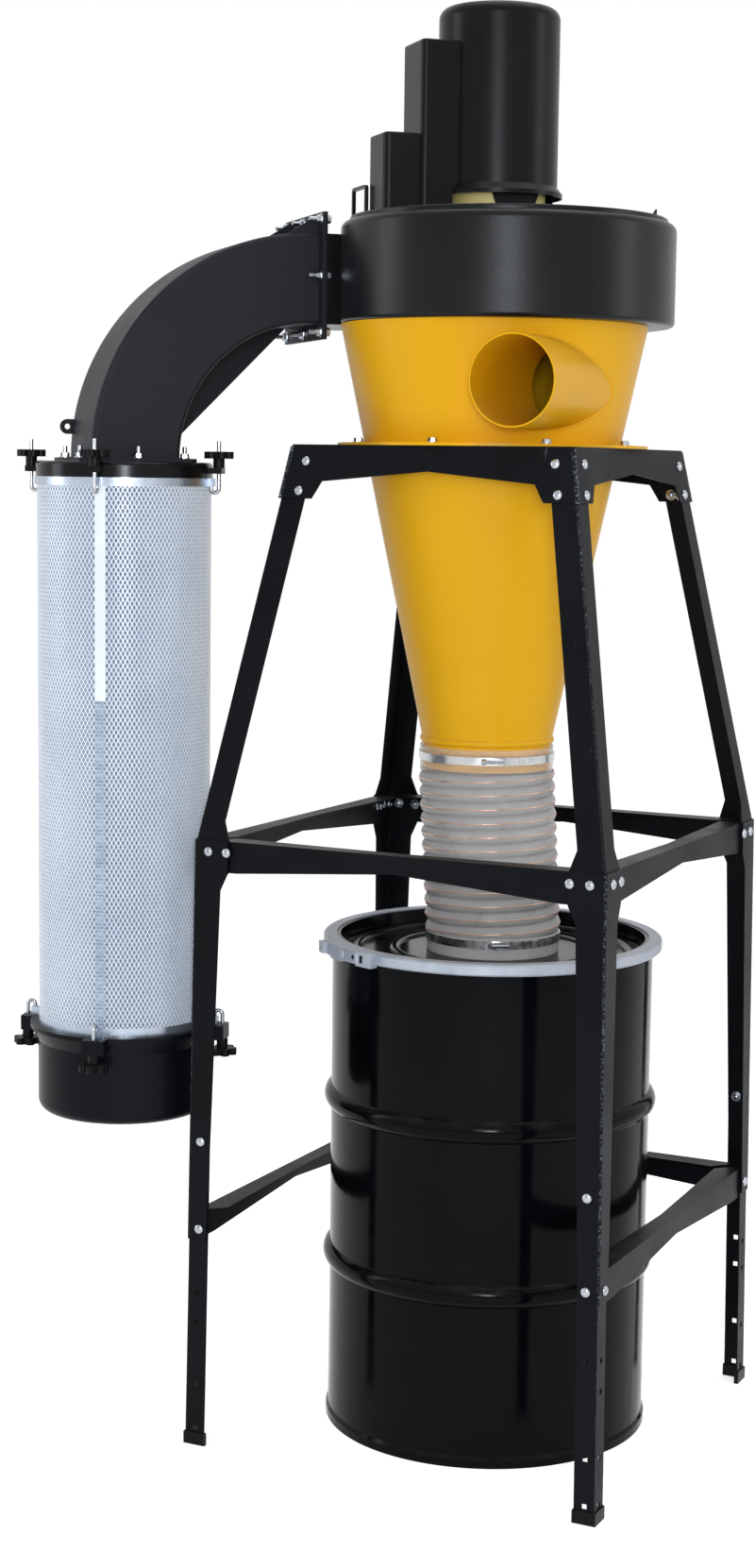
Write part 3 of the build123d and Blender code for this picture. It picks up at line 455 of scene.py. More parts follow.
cyclonePaint = makeFinish("cyclonePaint", {
    "tones": ((0.74, 0.372, 0.003), (0.8, 0.41, 0.006)), "driftScale": 2.2,
    "rough": (0.36, 0.46), "specular": 0.22, "bump": (330.0, 0.14, 0.0008),
    "scratch": scratchOf(0.1, 40.0, (0.6, 0.36, 0.1)), "dust": dustOf(0.14)})
creamPaint = makeFinish("creamPaint", {
    "tones": ((0.62, 0.5, 0.16), (0.7, 0.58, 0.24)), "driftScale": 9.0,
    "rough": (0.4, 0.55), "bump": (420.0, 0.2, 0.0006), "dust": dustOf(0.2)})
brightZinc = makeFinish("brightZinc", {
    "tones": ((0.34, 0.36, 0.395), (0.44, 0.46, 0.49)), "driftScale": 40.0,
    "rough": (0.16, 0.28), "metallic": 1.0, "bump": (700.0, 0.12, 0.0004), "dust": dustOf(0.1)})
bandSteel = makeFinish("bandSteel", {
    "tones": ((0.5, 0.51, 0.52), (0.62, 0.62, 0.62)), "driftScale": 50.0,
    "rough": (0.2, 0.34), "metallic": 1.0, "bump": (600.0, 0.2, 0.0004), "dust": dustOf(0.2, 40.0)})
endRingSteel = makeFinish("endRingSteel", {
    "tones": ((0.35, 0.4, 0.48), (0.46, 0.51, 0.59)), "driftScale": 24.0,
    "rough": (0.24, 0.38), "metallic": 0.85, "bump": (300.0, 0.2, 0.0006),
    "dust": dustOf(0.3, 30.0, (0.42, 0.4, 0.36))})
latticeSteel = makeFinish("latticeSteel", {
    "tones": ((0.8, 0.845, 0.91), (0.87, 0.905, 0.955)), "driftScale": 9.0,
    "rough": (0.3, 0.45), "metallic": 0.1, "bump": (800.0, 0.15, 0.0004), "dust": dustOf(0.08)})
seamSteel = makeFinish("seamSteel", {
    "tones": ((0.33, 0.4, 0.52), (0.42, 0.49, 0.6)), "driftScale": 20.0,
    "rough": (0.3, 0.42), "metallic": 0.3, "bump": (700.0, 0.15, 0.0004),
    "scratch": scratchOf(0.3, 70.0, (0.3, 0.34, 0.4))})
pleatPaper = makeFinish("pleatPaper", {
    "tones": ((0.5, 0.58, 0.71), (0.58, 0.66, 0.78)), "driftScale": 7.0,
    "rough": (0.7, 0.85), "specular": 0.2, "bump": (900.0, 0.3, 0.0005), "dust": dustOf(0.1)})
hoseClear = makeFinish("hoseClear", {
    "tones": ((0.47, 0.445, 0.44), (0.54, 0.515, 0.505)), "driftScale": 16.0,
    "rough": (0.26, 0.38), "transmission": 0.22, "ior": 1.2, "bump": (240.0, 0.06, 0.0006)})
cuffClear = makeFinish("cuffClear", {
    "tones": ((0.86, 0.83, 0.8), (0.92, 0.9, 0.87)), "driftScale": 16.0,
    "rough": (0.1, 0.18), "transmission": 0.85, "ior": 1.16, "bump": (160.0, 0.06, 0.0006)})
wireCopper = makeFinish("wireCopper", {
    "tones": ((0.62, 0.36, 0.24), (0.74, 0.46, 0.33)), "driftScale": 40.0,
    "rough": (0.26, 0.4), "metallic": 0.85, "bump": (700.0, 0.15, 0.0004)})
# a dark finish that paints shade where a hole should look deep
gapShadow = makeFinish("gapShadow", {
    "tones": ((0.012, 0.012, 0.014), (0.02, 0.02, 0.022)), "driftScale": 60.0,
    "rough": (0.6, 0.75), "specular": 0.1, "bump": (700.0, 0.15, 0.0004)})
print("finishes ready")

# the pieces of the stand aren't listed and take its powder coat
nodeFinishes = {
    "cone_shell": cyclonePaint, "head_shell": cyclonePaint, "inlet_pipe": cyclonePaint,
    "mounting_flange": cyclonePaint, "blower_housing": blowerPaint, "blower_lid": blowerPaint,
    "lifting_lugs": blowerPaint, "cover_brackets": motorPaint, "motor_cover": motorPaint,
    "drive_box": motorPaint, "switch_box": motorPaint, "motor_core": creamPaint,
    "outlet_elbow": elbowShell, "filter_cap": capGloss, "filter_pan": panPlastic,
    "clamp_knobs": knobPlastic, "foot_caps": knobPlastic, "filter_end_rings": endRingSteel,
    "clamp_rods": brightZinc, "hose_clamps": bandSteel, "filter_mesh": latticeSteel,
    "filter_core": pleatPaper, "drum_hose": hoseClear, "drum_body": drumEnamel,
    "drum_lid": drumEnamel, "drum_ring": ringSteel, "ring_lever": ringSteel,
}
for nodeName, node in nodes.items():
    node.data.materials.clear()
    node.data.materials.append(nodeFinishes.get(nodeName, standPowder))


# bolts of the stand: domed heads outside, nuts and thread ends inside

boltHead = {"sides": 20, "radius": 8.6 * mm, "rim": 1.4 * mm,
            "steps": ((1.3 * mm, 1.6 * mm), (1.9 * mm, 1.2 * mm), (2.2 * mm, 0.7 * mm))}
hexNut = {"radius": 7.6 * mm, "height": 6.4 * mm, "crown": (0.9 * mm, 0.6 * mm),
          "washer": 10.0 * mm, "washerSides": 20, "washerHeight": 1.4 * mm, "washerEdge": 0.4 * mm,
          "shank": 3.9 * mm, "shankSides": 12, "shankEnd": (0.9 * mm, 0.8 * mm)}


def makeDome():
    rim = boltHead["rim"]
    dome = addRound("dome", boltHead["sides"], boltHead["radius"], rim, (0, 0, rim / 2))
    pick("faces", faceUp)
    for inward, rise in boltHead["steps"]:
        stepUp(inward, rise)
    return settled(dome, roundFrom)


def makeBar(name, sides, radius, length, end):
    # a bar that stands on the nut's washer, its upper end drawn in
    bar = addRound(name, sides, radius, length, (0, 0, hexNut["washerHeight"] + length / 2))
    pick("faces", faceUp)
    stepUp(*end)
    return settled(bar)


def makeNut(shankLength):
    # washer, hexagon and, where it has a length, the thread end that stands out of it
    low = hexNut["washerHeight"]
    washer = addRound("washer", hexNut["washerSides"], hexNut["washer"], low, (0, 0, low / 2))
    pick("faces", faceUp)
    bpy.ops.mesh.bevel(offset=hexNut["washerEdge"], segments=1, affect="EDGES")
    bits = [settled(washer)]
    bits.append(makeBar("hexagon", 6, hexNut["radius"], hexNut["height"], hexNut["crown"]))
    if shankLength > 0:
        bits.append(makeBar("shank", hexNut["shankSides"], hexNut["shank"], shankLength, hexNut["shankEnd"]))
    return joined("nut", *bits)


def fastened(master, name, spots):
    return dressed(copies(master, name, spots), brightZinc)


standBolts = {"lowInset": 24 * mm, "lowHeights": (391 * mm, 547 * mm), "midAcross": (350 * mm, 315 * mm),
              "midHeight": 1056 * mm, "topHeights": (1721 * mm, 1671 * mm), "topInset": 36 * mm,
              "sheet": 3 * mm, "thread": 11 * mm}


def lowHalf(height):
    return standLines["foot"] - (standLines["foot"] - standLines["fold"]) * height / standLines["foldZ"]


def highHalf(height):
    share = (standLines["topZ"] - height) / (standLines["topZ"] - standLines["foldZ"])
    top = standLines["top"] + standBolts["sheet"]
    return top + share * (standLines["fold"] - top)


def sideRows(side):
    # place across, height, half width, lean and sheets bolted together, for one side of the stand
    lowLean = math.atan((standLines["foot"] - standLines["fold"]) / standLines["foldZ"])
    highRise = standLines["topZ"] - standLines["foldZ"]
    highLean = math.atan((standLines["fold"] - standLines["top"]) / highRise)
    first, second = standBolts["lowHeights"]
    mid = standBolts["midHeight"]
    rows = []
    for hand in (-1, 1):
        for height in (first, second):
            if height == second and side in (1, 3):
                continue  # the upper of the two is only in the front and back flanges
            sheets = 3 if height == first and side != 0 else 2
            half = lowHalf(height)
            rows.append((hand * (half - standBolts["lowInset"]), height, half, lowLean, sheets))
        for across in standBolts["midAcross"]:
            rows.append((hand * across, mid, lowHalf(mid), lowLean, 3))
        for height in standBolts["topHeights"]:
            half = highHalf(height)
            rows.append((hand * (half - standBolts["topInset"]), height, half, highLean, 2))
    return rows


def standSpots():
    heads, nuts = [], []
    for side in range(4):
        turn = Matrix.Translation(standFoot) @ Matrix.Rotation(side * math.pi / 2, 4, "Z")
        for across, height, half, lean, sheets in sideRows(side):
            outward = Vector((0, -math.cos(lean), math.sin(lean)))
            place = Vector((across, -half, height))
            heads.append(turn @ spotAt(place, outward))
            nuts.append(turn @ spotAt(place - outward * sheets * standBolts["sheet"], -outward))
    return heads, nuts


headSpots, nutSpots = standSpots()
fastened(makeDome(), "stand_bolt_heads", headSpots)
fastened(makeNut(standBolts["thread"]), "stand_bolt_nuts", nutSpots)
print("stand bolts:", len(headSpots))


# bolts of the cone's flange, of the elbow's flange and of the filter cap

flangeBolts = {"count": 8, "radius": 247 * mm}
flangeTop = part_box("mounting_flange")[1].z
flangeSpots = []
for step in range(flangeBolts["count"]):
    out = outAt(2 * math.pi * step / flangeBolts["count"])
    flangeSpots.append(spotAt(atHeight(axis, flangeTop) + out * flangeBolts["radius"], straightUp))
fastened(makeNut(0), "flange_bolts", flangeSpots)

outward = outAt(math.radians(225))  # the way the blower's outlet points
nearSide = outAt(math.radians(-45))
elbowBolts = {"plate": 285 * mm, "thick": 4 * mm, "near": -89 * mm, "mid": -191.5 * mm, "far": -294 * mm,
              "heights": (1944 * mm, 2040 * mm, 2136 * mm), "thread": 20 * mm}


def elbowSpots(out, way):
    spots = []
    for side in ("near", "mid", "far"):
        for height in elbowBolts["heights"]:
            if side == "mid" and height == elbowBolts["heights"][1]:
                continue  # the duct itself is there
            place = atHeight(axis, height) + outward * out + nearSide * elbowBolts[side]
            spots.append(spotAt(place, way))
    return spots


elbowOut = elbowBolts["plate"] + elbowBolts["thick"]
elbowIn = elbowBolts["plate"] - elbowBolts["thick"]
fastened(makeNut(elbowBolts["thread"]), "elbow_flange_nuts", elbowSpots(elbowOut, outward))
fastened(makeNut(0), "elbow_flange_heads", elbowSpots(elbowIn, -outward))

capStuds = {"along": 92 * mm, "across": 62 * mm, "middle": 106 * mm, "plateTop": 1722 * mm, "thread": 18 * mm}
studSpots = []
for along, across in ((1, 1), (1, -1), (-1, 1), (-1, -1), (0, 1), (0, -1)):
    reach = capStuds["across"] if along else capStuds["middle"]
    shift = outward * along * capStuds["along"] + nearSide * across * reach
    studSpots.append(spotAt(atHeight(filterAxis, capStuds["plateTop"]) + shift, straightUp))
fastened(makeNut(capStuds["thread"]), "filter_cap_studs", studSpots)
print("flange bolts, elbow bolts and cap studs placed")


# filter: expanded metal sleeve, folded paper inside it, seam strips

meshLow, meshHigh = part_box("filter_mesh")
sleeve = {"around": 122, "rows": 66, "strand": 0.72 * mm, "thick": 0.9 * mm}
sleeveRadius = (meshHigh.x - meshLow.x) / 2
sleeveHeight = meshHigh.z - meshLow.z


def makeSleeve():
    # diamonds from a poked grid, each opened to its strands, in two halves to keep each piece small
    lattice = addRound(
        "filter_lattice_low", sleeve["around"], sleeveRadius, sleeveHeight, filterAxis, "NOTHING")
    cutInRows(sleeve["rows"])
    pick("faces", everyBit)
    bpy.ops.mesh.poke()
    step = sleeveHeight / sleeve["rows"]

    def isGridLine(edge):
        one, two = edge.verts
        rise = abs(one.co.z - two.co.z) / step
        return len(edge.link_faces) == 2 and (rise < 1 - uprightShare or rise > uprightShare)

    pick("edges", isGridLine)
    bpy.ops.mesh.dissolve_edges(use_verts=False, use_face_split=False)
    openFaces(sleeve["strand"])
    pick("faces", lambda face: face.calc_center_median().z > 0)
    bpy.ops.mesh.separate(type="SELECTED")
    bpy.ops.object.mode_set(mode="OBJECT")
    upper = [piece for piece in bpy.context.selected_objects if piece != lattice][0]
    upper.name = "filter_lattice_high"
    for half in (lattice, upper):
        walled(half, sleeve["thick"])
        settled(half)
    return lattice, upper


for half in makeSleeve():
    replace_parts(dressed(half, latticeSteel), "filter_mesh")

paper = {"folds": 150, "outer": 146 * mm, "inner": 137 * mm, "thick": 0.8 * mm, "sharpFrom": 10}


def makePaper():
    folded = addRound("folded_paper", 2 * paper["folds"], paper["outer"], sleeveHeight, filterAxis, "NOTHING")
    turnStep = math.pi / paper["folds"]
    pick("verts", lambda vert: round(math.atan2(vert.co.y, vert.co.x) / turnStep) % 2 == 1)
    share = paper["inner"] / paper["outer"]
    bpy.ops.transform.resize(value=(share, share, 1), center_override=filterAxis)
    walled(folded, paper["thick"])
    return settled(folded, paper["sharpFrom"])


folded = dressed(makePaper(), pleatPaper)
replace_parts(folded, "filter_core")


def makeArcStrip(name, centre, strip, low, high, rows=1):
    # a strip of sheet bent round an upright axis, each of its faces opened where the strip has a rim
    place = atHeight(centre, (low + high) / 2)
    piece = addRound(name, strip["around"], strip["radius"], high - low, place, "NOTHING")

    def isAway(face):
        spot = face.calc_center_median()
        return abs(math.atan2(spot.y, spot.x) - strip["turn"]) > strip["half"]

    pick("faces", isAway)
    bpy.ops.mesh.delete(type="FACE")
    if rows > 1:
        cutInRows(rows)
    if "rim" in strip:
        openFaces(strip["rim"])
    walled(piece, strip["thick"])
    return settled(piece)


seamTurn = math.radians(-73.4)
seamChange = 1310 * mm  # the plain strip ends here and the pierced one goes on below
plainSeam = {"around": 200, "radius": sleeveRadius + 0.8 * mm, "turn": seamTurn, "half": math.radians(3.7),
             "thick": 0.8 * mm}
piercedSeam = {"around": 220, "radius": sleeveRadius + 0.7 * mm, "turn": seamTurn, "half": math.radians(3.6),
               "thick": 0.7 * mm, "rim": 1.25 * mm, "pitch": 4.3 * mm}
piercedRows = round((seamChange - meshLow.z) / piercedSeam["pitch"])
plainStrip = makeArcStrip("filter_seam", filterAxis, plainSeam, seamChange, meshHigh.z)
dressed(plainStrip, latticeSteel)
piercedStrip = makeArcStrip("pierced_seam", filterAxis, piercedSeam, meshLow.z, seamChange, piercedRows)
dressed(piercedStrip, seamSteel)
print("filter sleeve, paper and seam made")


# clear hose: wall that bulges out in a helix, a wire along its crest, plain cuffs at its ends

hoseLow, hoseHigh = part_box("drum_hose")
hose = {"pitch": 24 * mm, "valley": 114.6 * mm, "bulge": 6.2 * mm, "wall": 1.2 * mm, "arcSides": 32,
        "valleyCut": 0.4 * mm, "turnSteps": 72, "leadTurns": 1.5, "spareTurns": 2,
        "wire": 1.1 * mm, "wireSides": 8, "wireSink": 0.4 * mm}
cuff = {"radius": 118 * mm, "upper": 44 * mm, "lower": 38 * mm, "sides": 72, "rows": 8, "wall": 2 * mm,
        "edge": 0.6 * mm, "edgeSteps": 2}
hoseCrest = hose["valley"] + hose["bulge"]
ribLow = hoseLow.z + cuff["lower"]
ribHigh = hoseHigh.z - cuff["upper"]
ribLength = ribHigh - ribLow
topShift = axis - drumAxis


def leaned(piece):
    # follows the step between the drum's collar and the cone's
    slant = Matrix.Identity(4)
    slant[0][2] = topShift.x / ribLength
    slant[1][2] = topShift.y / ribLength
    piece.data.transform(Matrix.Translation(atHeight(drumAxis, ribLow)) @ slant)


def trimmed(piece, low, high, filled):
    opened(piece)
    for height, way in ((low, -1), (high, 1)):
        bpy.ops.mesh.select_all(action="SELECT")
        bpy.ops.mesh.bisect(plane_co=(0, 0, height), plane_no=(0, 0, way), clear_outer=True, use_fill=filled)
    bpy.ops.object.mode_set(mode="OBJECT")


def wound(piece, turnHeight, filled):
    # winds a profile up the hose and trims it to the ribbed length
    helix = piece.modifiers.new("helix", "SCREW")
    helix.steps = helix.render_steps = hose["turnSteps"]
    helix.screw_offset = turnHeight
    helix.iterations = math.ceil(ribLength / turnHeight) + hose["spareTurns"]
    applyAll(piece)
    piece.data.transform(Matrix.Translation((0, 0, -hose["leadTurns"] * turnHeight)))
    trimmed(piece, 0, ribLength, filled)
    facingOut(piece)


def makeHoseWall():
    half = hose["pitch"] / 2
    arc = (half * half + hose["bulge"] ** 2) / (2 * hose["bulge"])
    wall = placed(addHoop("ribbed_hose", hose["arcSides"], arc, (hoseCrest - arc, 0, 0)))
    opened(wall)
    pick("verts", lambda vert: vert.co.x < hose["valley"] - hose["valleyCut"])
    bpy.ops.mesh.delete(type="VERT")
    bpy.ops.object.mode_set(mode="OBJECT")
    heights = [vert.co.z for vert in wall.data.vertices]
    turnHeight = max(heights) - min(heights)
    wound(wall, turnHeight, False)
    walled(wall, hose["wall"])
    leaned(wall)
    return settled(wall, roundFrom), turnHeight


def makeWire(turnHeight):
    place = (hoseCrest - hose["wireSink"], 0, 0)
    wire = placed(addHoop("hose_wire", hose["wireSides"], hose["wire"], place))
    wound(wire, turnHeight, True)
    leaned(wire)
    return settled(wire, roundFrom)


def makeCuff(name, centre, low, high):
    # plain end of the hose, its rims rounded
    place = atHeight(centre, (low + high) / 2)
    piece = addRound(name, cuff["sides"], cuff["radius"], high - low, place, "NOTHING")
    cutInRows(cuff["rows"])
    walled(piece, cuff["wall"])
    edge = piece.modifiers.new("edge", "BEVEL")
    edge.width = cuff["edge"]
    edge.segments = cuff["edgeSteps"]
    applyAll(piece)
    return settled(piece)


hoseWall, turnHeight = makeHoseWall()
upperCuff = makeCuff("upper_cuff", axis, ribHigh, hoseHigh.z)
lowerCuff = makeCuff("lower_cuff", drumAxis, hoseLow.z, ribLow)
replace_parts(dressed(hoseWall, hoseClear), "drum_hose")
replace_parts(dressed(upperCuff, cuffClear), "drum_hose")
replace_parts(dressed(lowerCuff, hoseClear), "drum_hose")
dressed(makeWire(turnHeight), wireCopper)
print("hose made, turn height (mm):", round(turnHeight / mm, 1))


# hose bands: slotted worm screws and the pierced tails of the straps

wormClamp = {"turn": math.radians(-60), "bandRadius": 120.5 * mm, "bandHeight": 14 * mm,
             "axisRadius": 123.4 * mm, "houseHalf": 15 * mm}
wormScrew = {"head": 5.0 * mm, "headLength": 6.5 * mm, "crown": (0.7 * mm, 0.5 * mm), "slot": 1.3 * mm,
             "slotDepth": 3 * mm, "thread": 4.4 * mm, "threadSides": 16, "threadRows": 20, "ridge": 1.16,
             "sharpFrom": 20}
bandLow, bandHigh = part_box("hose_clamps")
bandHalf = wormClamp["bandHeight"] / 2
bandSpots = ((axis, bandHigh.z - bandHalf), (drumAxis, bandLow.z + bandHalf))


def makeScrewHead():
    # hexagon with a slot across its end
    length = wormScrew["headLength"]
    head = addRound("screw_head", 6, wormScrew["head"], length, (0, 0, length / 2))
    pick("faces", faceUp)
    stepUp(*wormScrew["crown"])
    slotSize = (wormScrew["slot"], 4 * wormScrew["head"], wormScrew["slotDepth"])
    cutBy(head, settled(addBlock("slot", slotSize, (0, 0, length))))
    return settled(head)


def makeWormThread():
    # threads that stand up through the strap, under the open top of the housing
    half = wormClamp["houseHalf"]
    rows = wormScrew["threadRows"]
    thread = addRound("worm_thread", wormScrew["threadSides"], wormScrew["thread"], 2 * half, (0, 0, -half))
    cutInRows(rows)
    step = 2 * half / rows
    pick("verts", lambda vert: round((vert.co.z + half) / step) % 2 == 1)
    bpy.ops.transform.resize(value=(wormScrew["ridge"], wormScrew["ridge"], 1), center_override=(0, 0, 0))
    return settled(thread, wormScrew["sharpFrom"])


def wormSpots():
    turn = wormClamp["turn"]
    along = outAt(turn - math.pi / 2)
    shift = outAt(turn) * wormClamp["axisRadius"] + along * wormClamp["houseHalf"]
    return [spotAt(atHeight(centre, height) + shift, along) for centre, height in bandSpots]


wormWhole = joined("worm_screw", makeScrewHead(), makeWormThread())
fastened(wormWhole, "worm_screws", wormSpots())

strapTail = {"around": 240, "radius": wormClamp["bandRadius"] + 0.8 * mm, "turn": math.radians(-39),
             "half": math.radians(13), "thick": 0.8 * mm, "rim": 0.75 * mm, "height": 11 * mm}
tailHalf = strapTail["height"] / 2
tails = []
for centre, height in bandSpots:
    tails.append(makeArcStrip("strap_tail", centre, strapTail, height - tailHalf, height + tailHalf))
dressed(joined("strap_tails", *tails), bandSteel)
print("worm screws and strap tails made")


# drum: rolled beads in the sunk lid, plates of the ring's lever

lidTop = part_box("drum_hose")[0].z  # the hose stands on the sunk floor of the lid
lidBeads = ({"radius": 246 * mm, "half": 13 * mm, "rise": 7.0 * mm},
            {"radius": 176 * mm, "half": 10 * mm, "rise": 4.5 * mm})
beadMesh = {"sides": 24, "steps": 96, "sink": 0.4 * mm}


def makeBead(bead):
    # a flattened hoop spun round the drum's axis, its lower half inside the lid
    place = (drumAxis.x + bead["radius"], drumAxis.y, lidTop - beadMesh["sink"])
    ring = addHoop("lid_bead", beadMesh["sides"], bead["half"], place)
    bpy.ops.mesh.select_all(action="SELECT")
    bpy.ops.transform.resize(value=(1, 1, bead["rise"] / bead["half"]), center_override=(0, 0, place[2]))
    bpy.ops.mesh.spin(
        steps=beadMesh["steps"], angle=2 * math.pi, center=atHeight(drumAxis, 0), axis=straightUp)
    facingOut(ring)
    return settled(ring, roundFrom)


dressed(joined("lid_beads", *[makeBead(bead) for bead in lidBeads]), drumEnamel)

leverPlates = (
    {"name": "hinge_plate", "size": (41 * mm, 17 * mm, 2.4 * mm), "lip": 1.2 * mm, "turn": -117.9,
     "radius": 315 * mm, "hole": (4.2 * mm,), "holeShift": 11 * mm},
    {"name": "window_plate", "size": (34 * mm, 21 * mm, 2.4 * mm), "lip": 1.2 * mm, "turn": -110.5,
     "radius": 318 * mm, "hole": (8 * mm, 13 * mm), "holeShift": -5 * mm},
    {"name": "tip_plate", "size": (22 * mm, 20 * mm, 9 * mm), "lip": 2.0 * mm, "turn": -135.4,
     "radius": 315 * mm},
)
plateForm = {"edge": (0.8 * mm, 0.4 * mm), "press": (0.8 * mm, -1.1 * mm), "sink": 1.2 * mm,
             "holeSides": 20, "cutDepth": 20 * mm}
holeShade = {"thick": 0.5 * mm, "dish": (0.6 * mm, -0.3 * mm), "gap": 0.1 * mm}
leverMiddle = middle("ring_lever").z


def onLever(plate, shift):
    # turns what lies flat to face out of the ring at the plate's place, moved out by the shift
    out = outAt(math.radians(plate["turn"]))
    return spotAt(atHeight(drumAxis, leverMiddle) + out * (plate["radius"] + shift), out)


def addHole(name, size, depth, place):
    # round where it has one size, square where it has two
    if len(size) == 1:
        return addRound(name, plateForm["holeSides"], size[0], depth, place)
    return addBlock(name, (*size, depth), place)


def makePlate(plate):
    # its rim bevelled, a panel pressed into it and its hole cut, and then set on the lever
    size = plate["size"]
    piece = settled(addBlock(plate["name"], size, (0, 0, size[2] / 2)))
    opened(piece)
    pick("faces", faceUp)
    stepUp(*plateForm["edge"])
    bpy.ops.mesh.inset(thickness=plate["lip"], depth=0)
    stepUp(*plateForm["press"])
    bpy.ops.object.mode_set(mode="OBJECT")
    if "hole" in plate:
        place = (plate["holeShift"], 0, 0)
        cutBy(piece, settled(addHole("hole", plate["hole"], plateForm["cutDepth"], place)))
    piece.data.transform(onLever(plate, -plateForm["sink"]))
    return settled(piece)


def makeHoleShade(plate):
    # painted shade: a dark piece at the bottom of a plate's hole, over the lever's own surface, a gap smaller
    # all round
    gap = holeShade["gap"]
    thick = holeShade["thick"]
    smaller = gap if len(plate["hole"]) == 1 else 2 * gap
    size = [side - smaller for side in plate["hole"]]
    shadePiece = addHole("hole_floor", size, thick, (plate["holeShift"], 0, thick / 2))
    pick("faces", faceUp)
    stepUp(*holeShade["dish"])
    settled(shadePiece)
    shadePiece.data.transform(onLever(plate, gap))
    return shadePiece


latchBits = [makePlate(plate) for plate in leverPlates]
dressed(joined("lever_plates", *latchBits), ringSteel)
# painted shade: dark pieces in the plates' holes, so that they read as deep
paintedHoleShades = [makeHoleShade(plate) for plate in leverPlates if "hole" in plate]
dressed(joined("lever_recesses", *paintedHoleShades), gapShadow)
print("lid beads and lever plates made")


# cyclone: weld bead round the inlet's saddle and the seam of the cone's rolled sheet

saddle = {"radius": 76 * mm, "sides": 180, "bead": 2.4 * mm, "ripple": 0.7 * mm, "wave": 1.9}
pipeMiddle = middle("inlet_pipe")
coneLine = {"top": 267 * mm, "topZ": 1958 * mm, "bottom": 116 * mm, "bottomZ": 1244 * mm}


def coneRadius(height):
    share = (height - coneLine["bottomZ"]) / (coneLine["topZ"] - coneLine["bottomZ"])
    return coneLine["bottom"] + share * (coneLine["top"] - coneLine["bottom"])


def tubed(piece, name, radius):
    # turns a line of edges into a round bead
    take(piece)
    bpy.ops.object.convert(target="CURVE")
    curve = bpy.context.object.data
    curve.bevel_depth = radius
    curve.bevel_resolution = 2
    curve.use_fill_caps = True
    bpy.ops.object.convert(target="MESH")
    bead = bpy.context.object
    bead.name = name
    return settled(bead, roundFrom)


def makeSaddleBead(name):
    place = (pipeMiddle.x, axis.y, pipeMiddle.z)
    bead = settled(addHoop(name, saddle["sides"], saddle["radius"], place))
    for vert in bead.data.vertices:
        across = vert.co.x - axis.x
        wall = coneRadius(vert.co.z)
        reach = math.sqrt(max(wall * wall - across * across, 0.0))
        vert.co.y = axis.y - reach - saddle["ripple"] * math.sin(vert.index * saddle["wave"])
    return tubed(bead, name, saddle["bead"])


dressed(makeSaddleBead("saddle_bead"), cyclonePaint)

sheetSeam = {"turn": math.radians(158), "bead": 2.0 * mm, "cuts": 60, "sink": 0.6 * mm,
             "ripple": 0.5 * mm, "wave": 2.3, "lowEnd": 4 * mm, "highEnd": 6 * mm}


def makeSheetSeam(name):
    # upright weld where the rolled sheet of the cone meets itself, at the left towards the back
    low = coneLine["bottomZ"] + sheetSeam["lowEnd"]
    high = coneLine["topZ"] - sheetSeam["highEnd"]
    turn = sheetSeam["turn"]
    clearPicks()
    bpy.ops.mesh.primitive_plane_add(size=1, location=(0, 0, 0))
    seam = started(name)
    pick("verts", lambda vert: vert.co.x > 0)
    bpy.ops.mesh.delete(type="VERT")
    pick("edges", everyBit)
    bpy.ops.mesh.subdivide(number_cuts=sheetSeam["cuts"])
    bpy.ops.object.mode_set(mode="OBJECT")
    for vert in seam.data.vertices:
        height = low + (vert.co.y + 0.5) * (high - low)
        ripple = sheetSeam["ripple"] * math.sin(vert.index * sheetSeam["wave"])
        wall = coneRadius(height) - sheetSeam["sink"] + ripple
        vert.co = (axis.x + wall * math.cos(turn), axis.y + wall * math.sin(turn), height)
    return tubed(seam, name, sheetSeam["bead"])


dressed(makeSheetSeam("cone_seam"), cyclonePaint)
print("weld beads made")


# floor, light, camera

white = (1.0, 1.0, 1.0, 1.0)


def backdropLevel(tree, onObject, backdrop):
    # one strength for rays that should see the white backdrop, another for light on the object
    path = addNode(tree, "ShaderNodeLightPath").outputs
    cameraOrGloss = mathIn(tree, "MAXIMUM", path["Is Camera Ray"], path["Is Glossy Ray"])
    anySight = mathIn(tree, "MAXIMUM", cameraOrGloss, path["Is Transmission Ray"])
    return rangeIn(tree, anySight, 0.0, 1.0, onObject, backdrop)


floorLook = {"size": 60.0, "drop": 0.5 * mm, "colour": (0.86, 0.86, 0.86, 1.0), "rough": 0.9,
             "specular": 0.1, "glow": 0.62}
clearPicks()
bpy.ops.mesh.primitive_plane_add(size=floorLook["size"], location=(0, 0, -floorLook["drop"]))
floor = bpy.context.object
floor.name = "floor"
floorPale = bpy.data.materials.new("floorPale")
floorPale.use_nodes = True
floorTree = floorPale.node_tree
fillNode(floorTree, floorTree.nodes["Principled BSDF"], {
    "Base Color": floorLook["colour"], "Roughness": floorLook["rough"],
    "Specular IOR Level": floorLook["specular"], "Emission Color": white,
    "Emission Strength": backdropLevel(floorTree, 0.0, floorLook["glow"])})
floor.data.materials.append(floorPale)

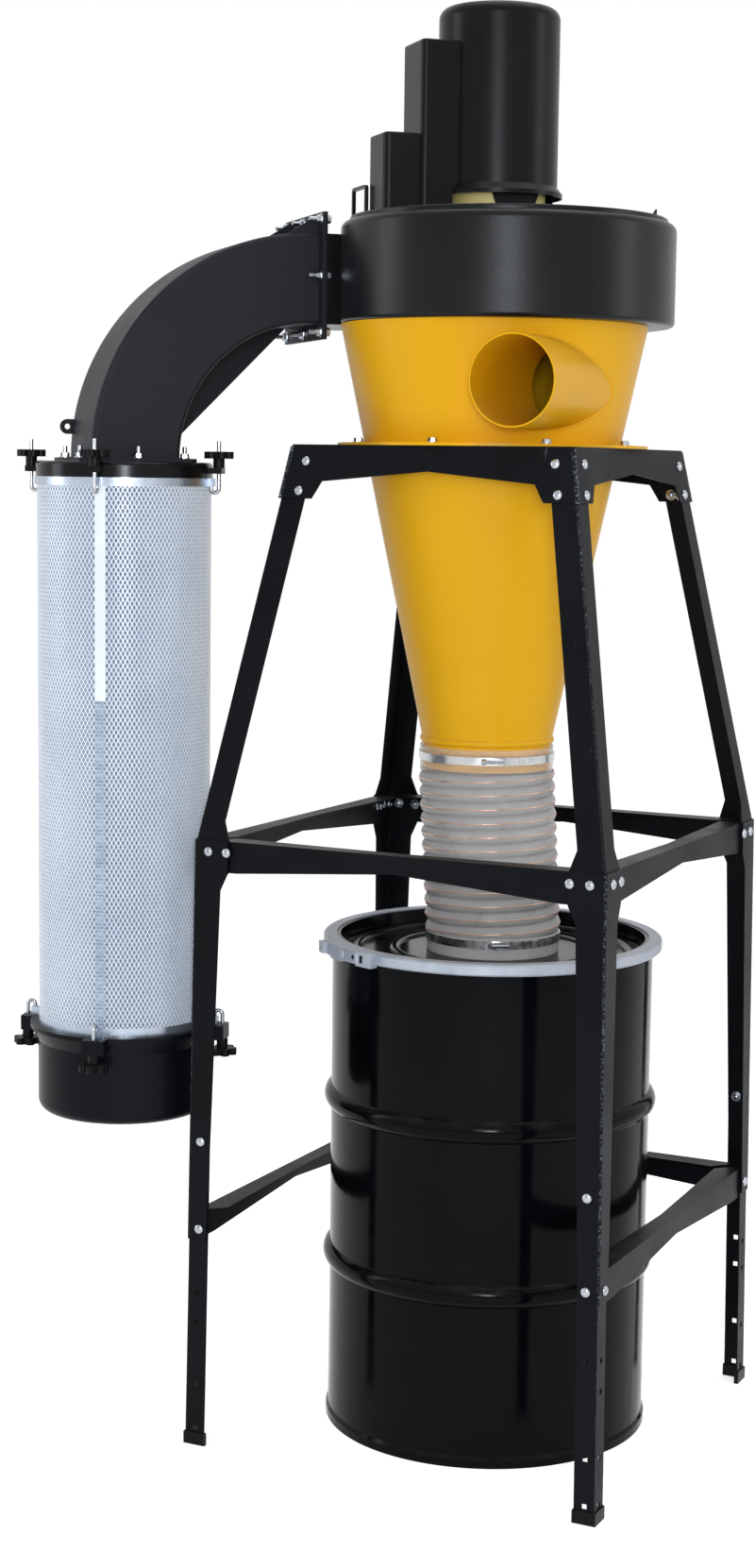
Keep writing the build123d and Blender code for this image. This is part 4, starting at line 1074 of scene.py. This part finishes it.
# spots are from the foot of the cone's axis, and each lamp aims at a height on that axis
lampTint = (0.89, 0.945, 1.0)
lampSet = (
    {"name": "keyLamp", "spot": (1.75, -4.3, 2.5), "aim": 1.3, "size": (1.2, 1.7), "power": 46.0},
    {"name": "frontLamp", "spot": (1.95, -4.2, 1.85), "aim": 1.5, "size": (0.6, 0.6), "power": 62.0},
    {"name": "leftLamp", "spot": (-4.0, -2.0, 2.3), "aim": 1.2, "size": (1.2, 2.6), "power": 40.0},
    {"name": "rightLamp", "spot": (3.9, 1.3, 2.4), "aim": 1.2, "size": (1.0, 2.4), "power": 30.0},
    {"name": "topLamp", "spot": (0.2, 0.4, 5.2), "aim": 1.0, "size": (3.0, 3.0), "power": 52.0},
)
for lamp in lampSet:
    light = bpy.data.lights.new(lamp["name"], "AREA")
    light.shape = "RECTANGLE"
    light.size, light.size_y = lamp["size"]
    light.energy = lamp["power"]
    light.color = lampTint
    holder = bpy.data.objects.new(lamp["name"], light)
    bpy.context.scene.collection.objects.link(holder)
    spot = standFoot + Vector(lamp["spot"])
    holder.location = spot
    holder.rotation_euler = (atHeight(axis, lamp["aim"]) - spot).to_track_quat("-Z", "Y").to_euler()

roomLight = {"onObject": 0.47, "backdrop": 1.0}
world = bpy.data.worlds.new("paleRoom")
bpy.context.scene.world = world
world.use_nodes = True
worldTree = world.node_tree
fillNode(worldTree, worldTree.nodes["Background"], {
    "Color": white, "Strength": backdropLevel(worldTree, roomLight["onObject"], roomLight["backdrop"])})

shot = {"spot": (1.79552, -4.07773, 1.70642), "turns": (82.81766, -0.7761, 25.88544), "lens": 57.894,
        "shift": (-0.0129, 0.00293)}
lens = bpy.data.cameras.new("shotCamera")
lens.lens = shot["lens"]
lens.shift_x, lens.shift_y = shot["shift"]
camera = bpy.data.objects.new("shotCamera", lens)
bpy.context.scene.collection.objects.link(camera)
stance = Euler([math.radians(turn) for turn in shot["turns"]]).to_matrix().to_4x4()
camera.matrix_world = Matrix.Translation(standFoot + Vector(shot["spot"])) @ stance
bpy.context.scene.camera = camera
bpy.context.scene.view_settings.view_transform = "Standard"
print("floor, light and camera ready")
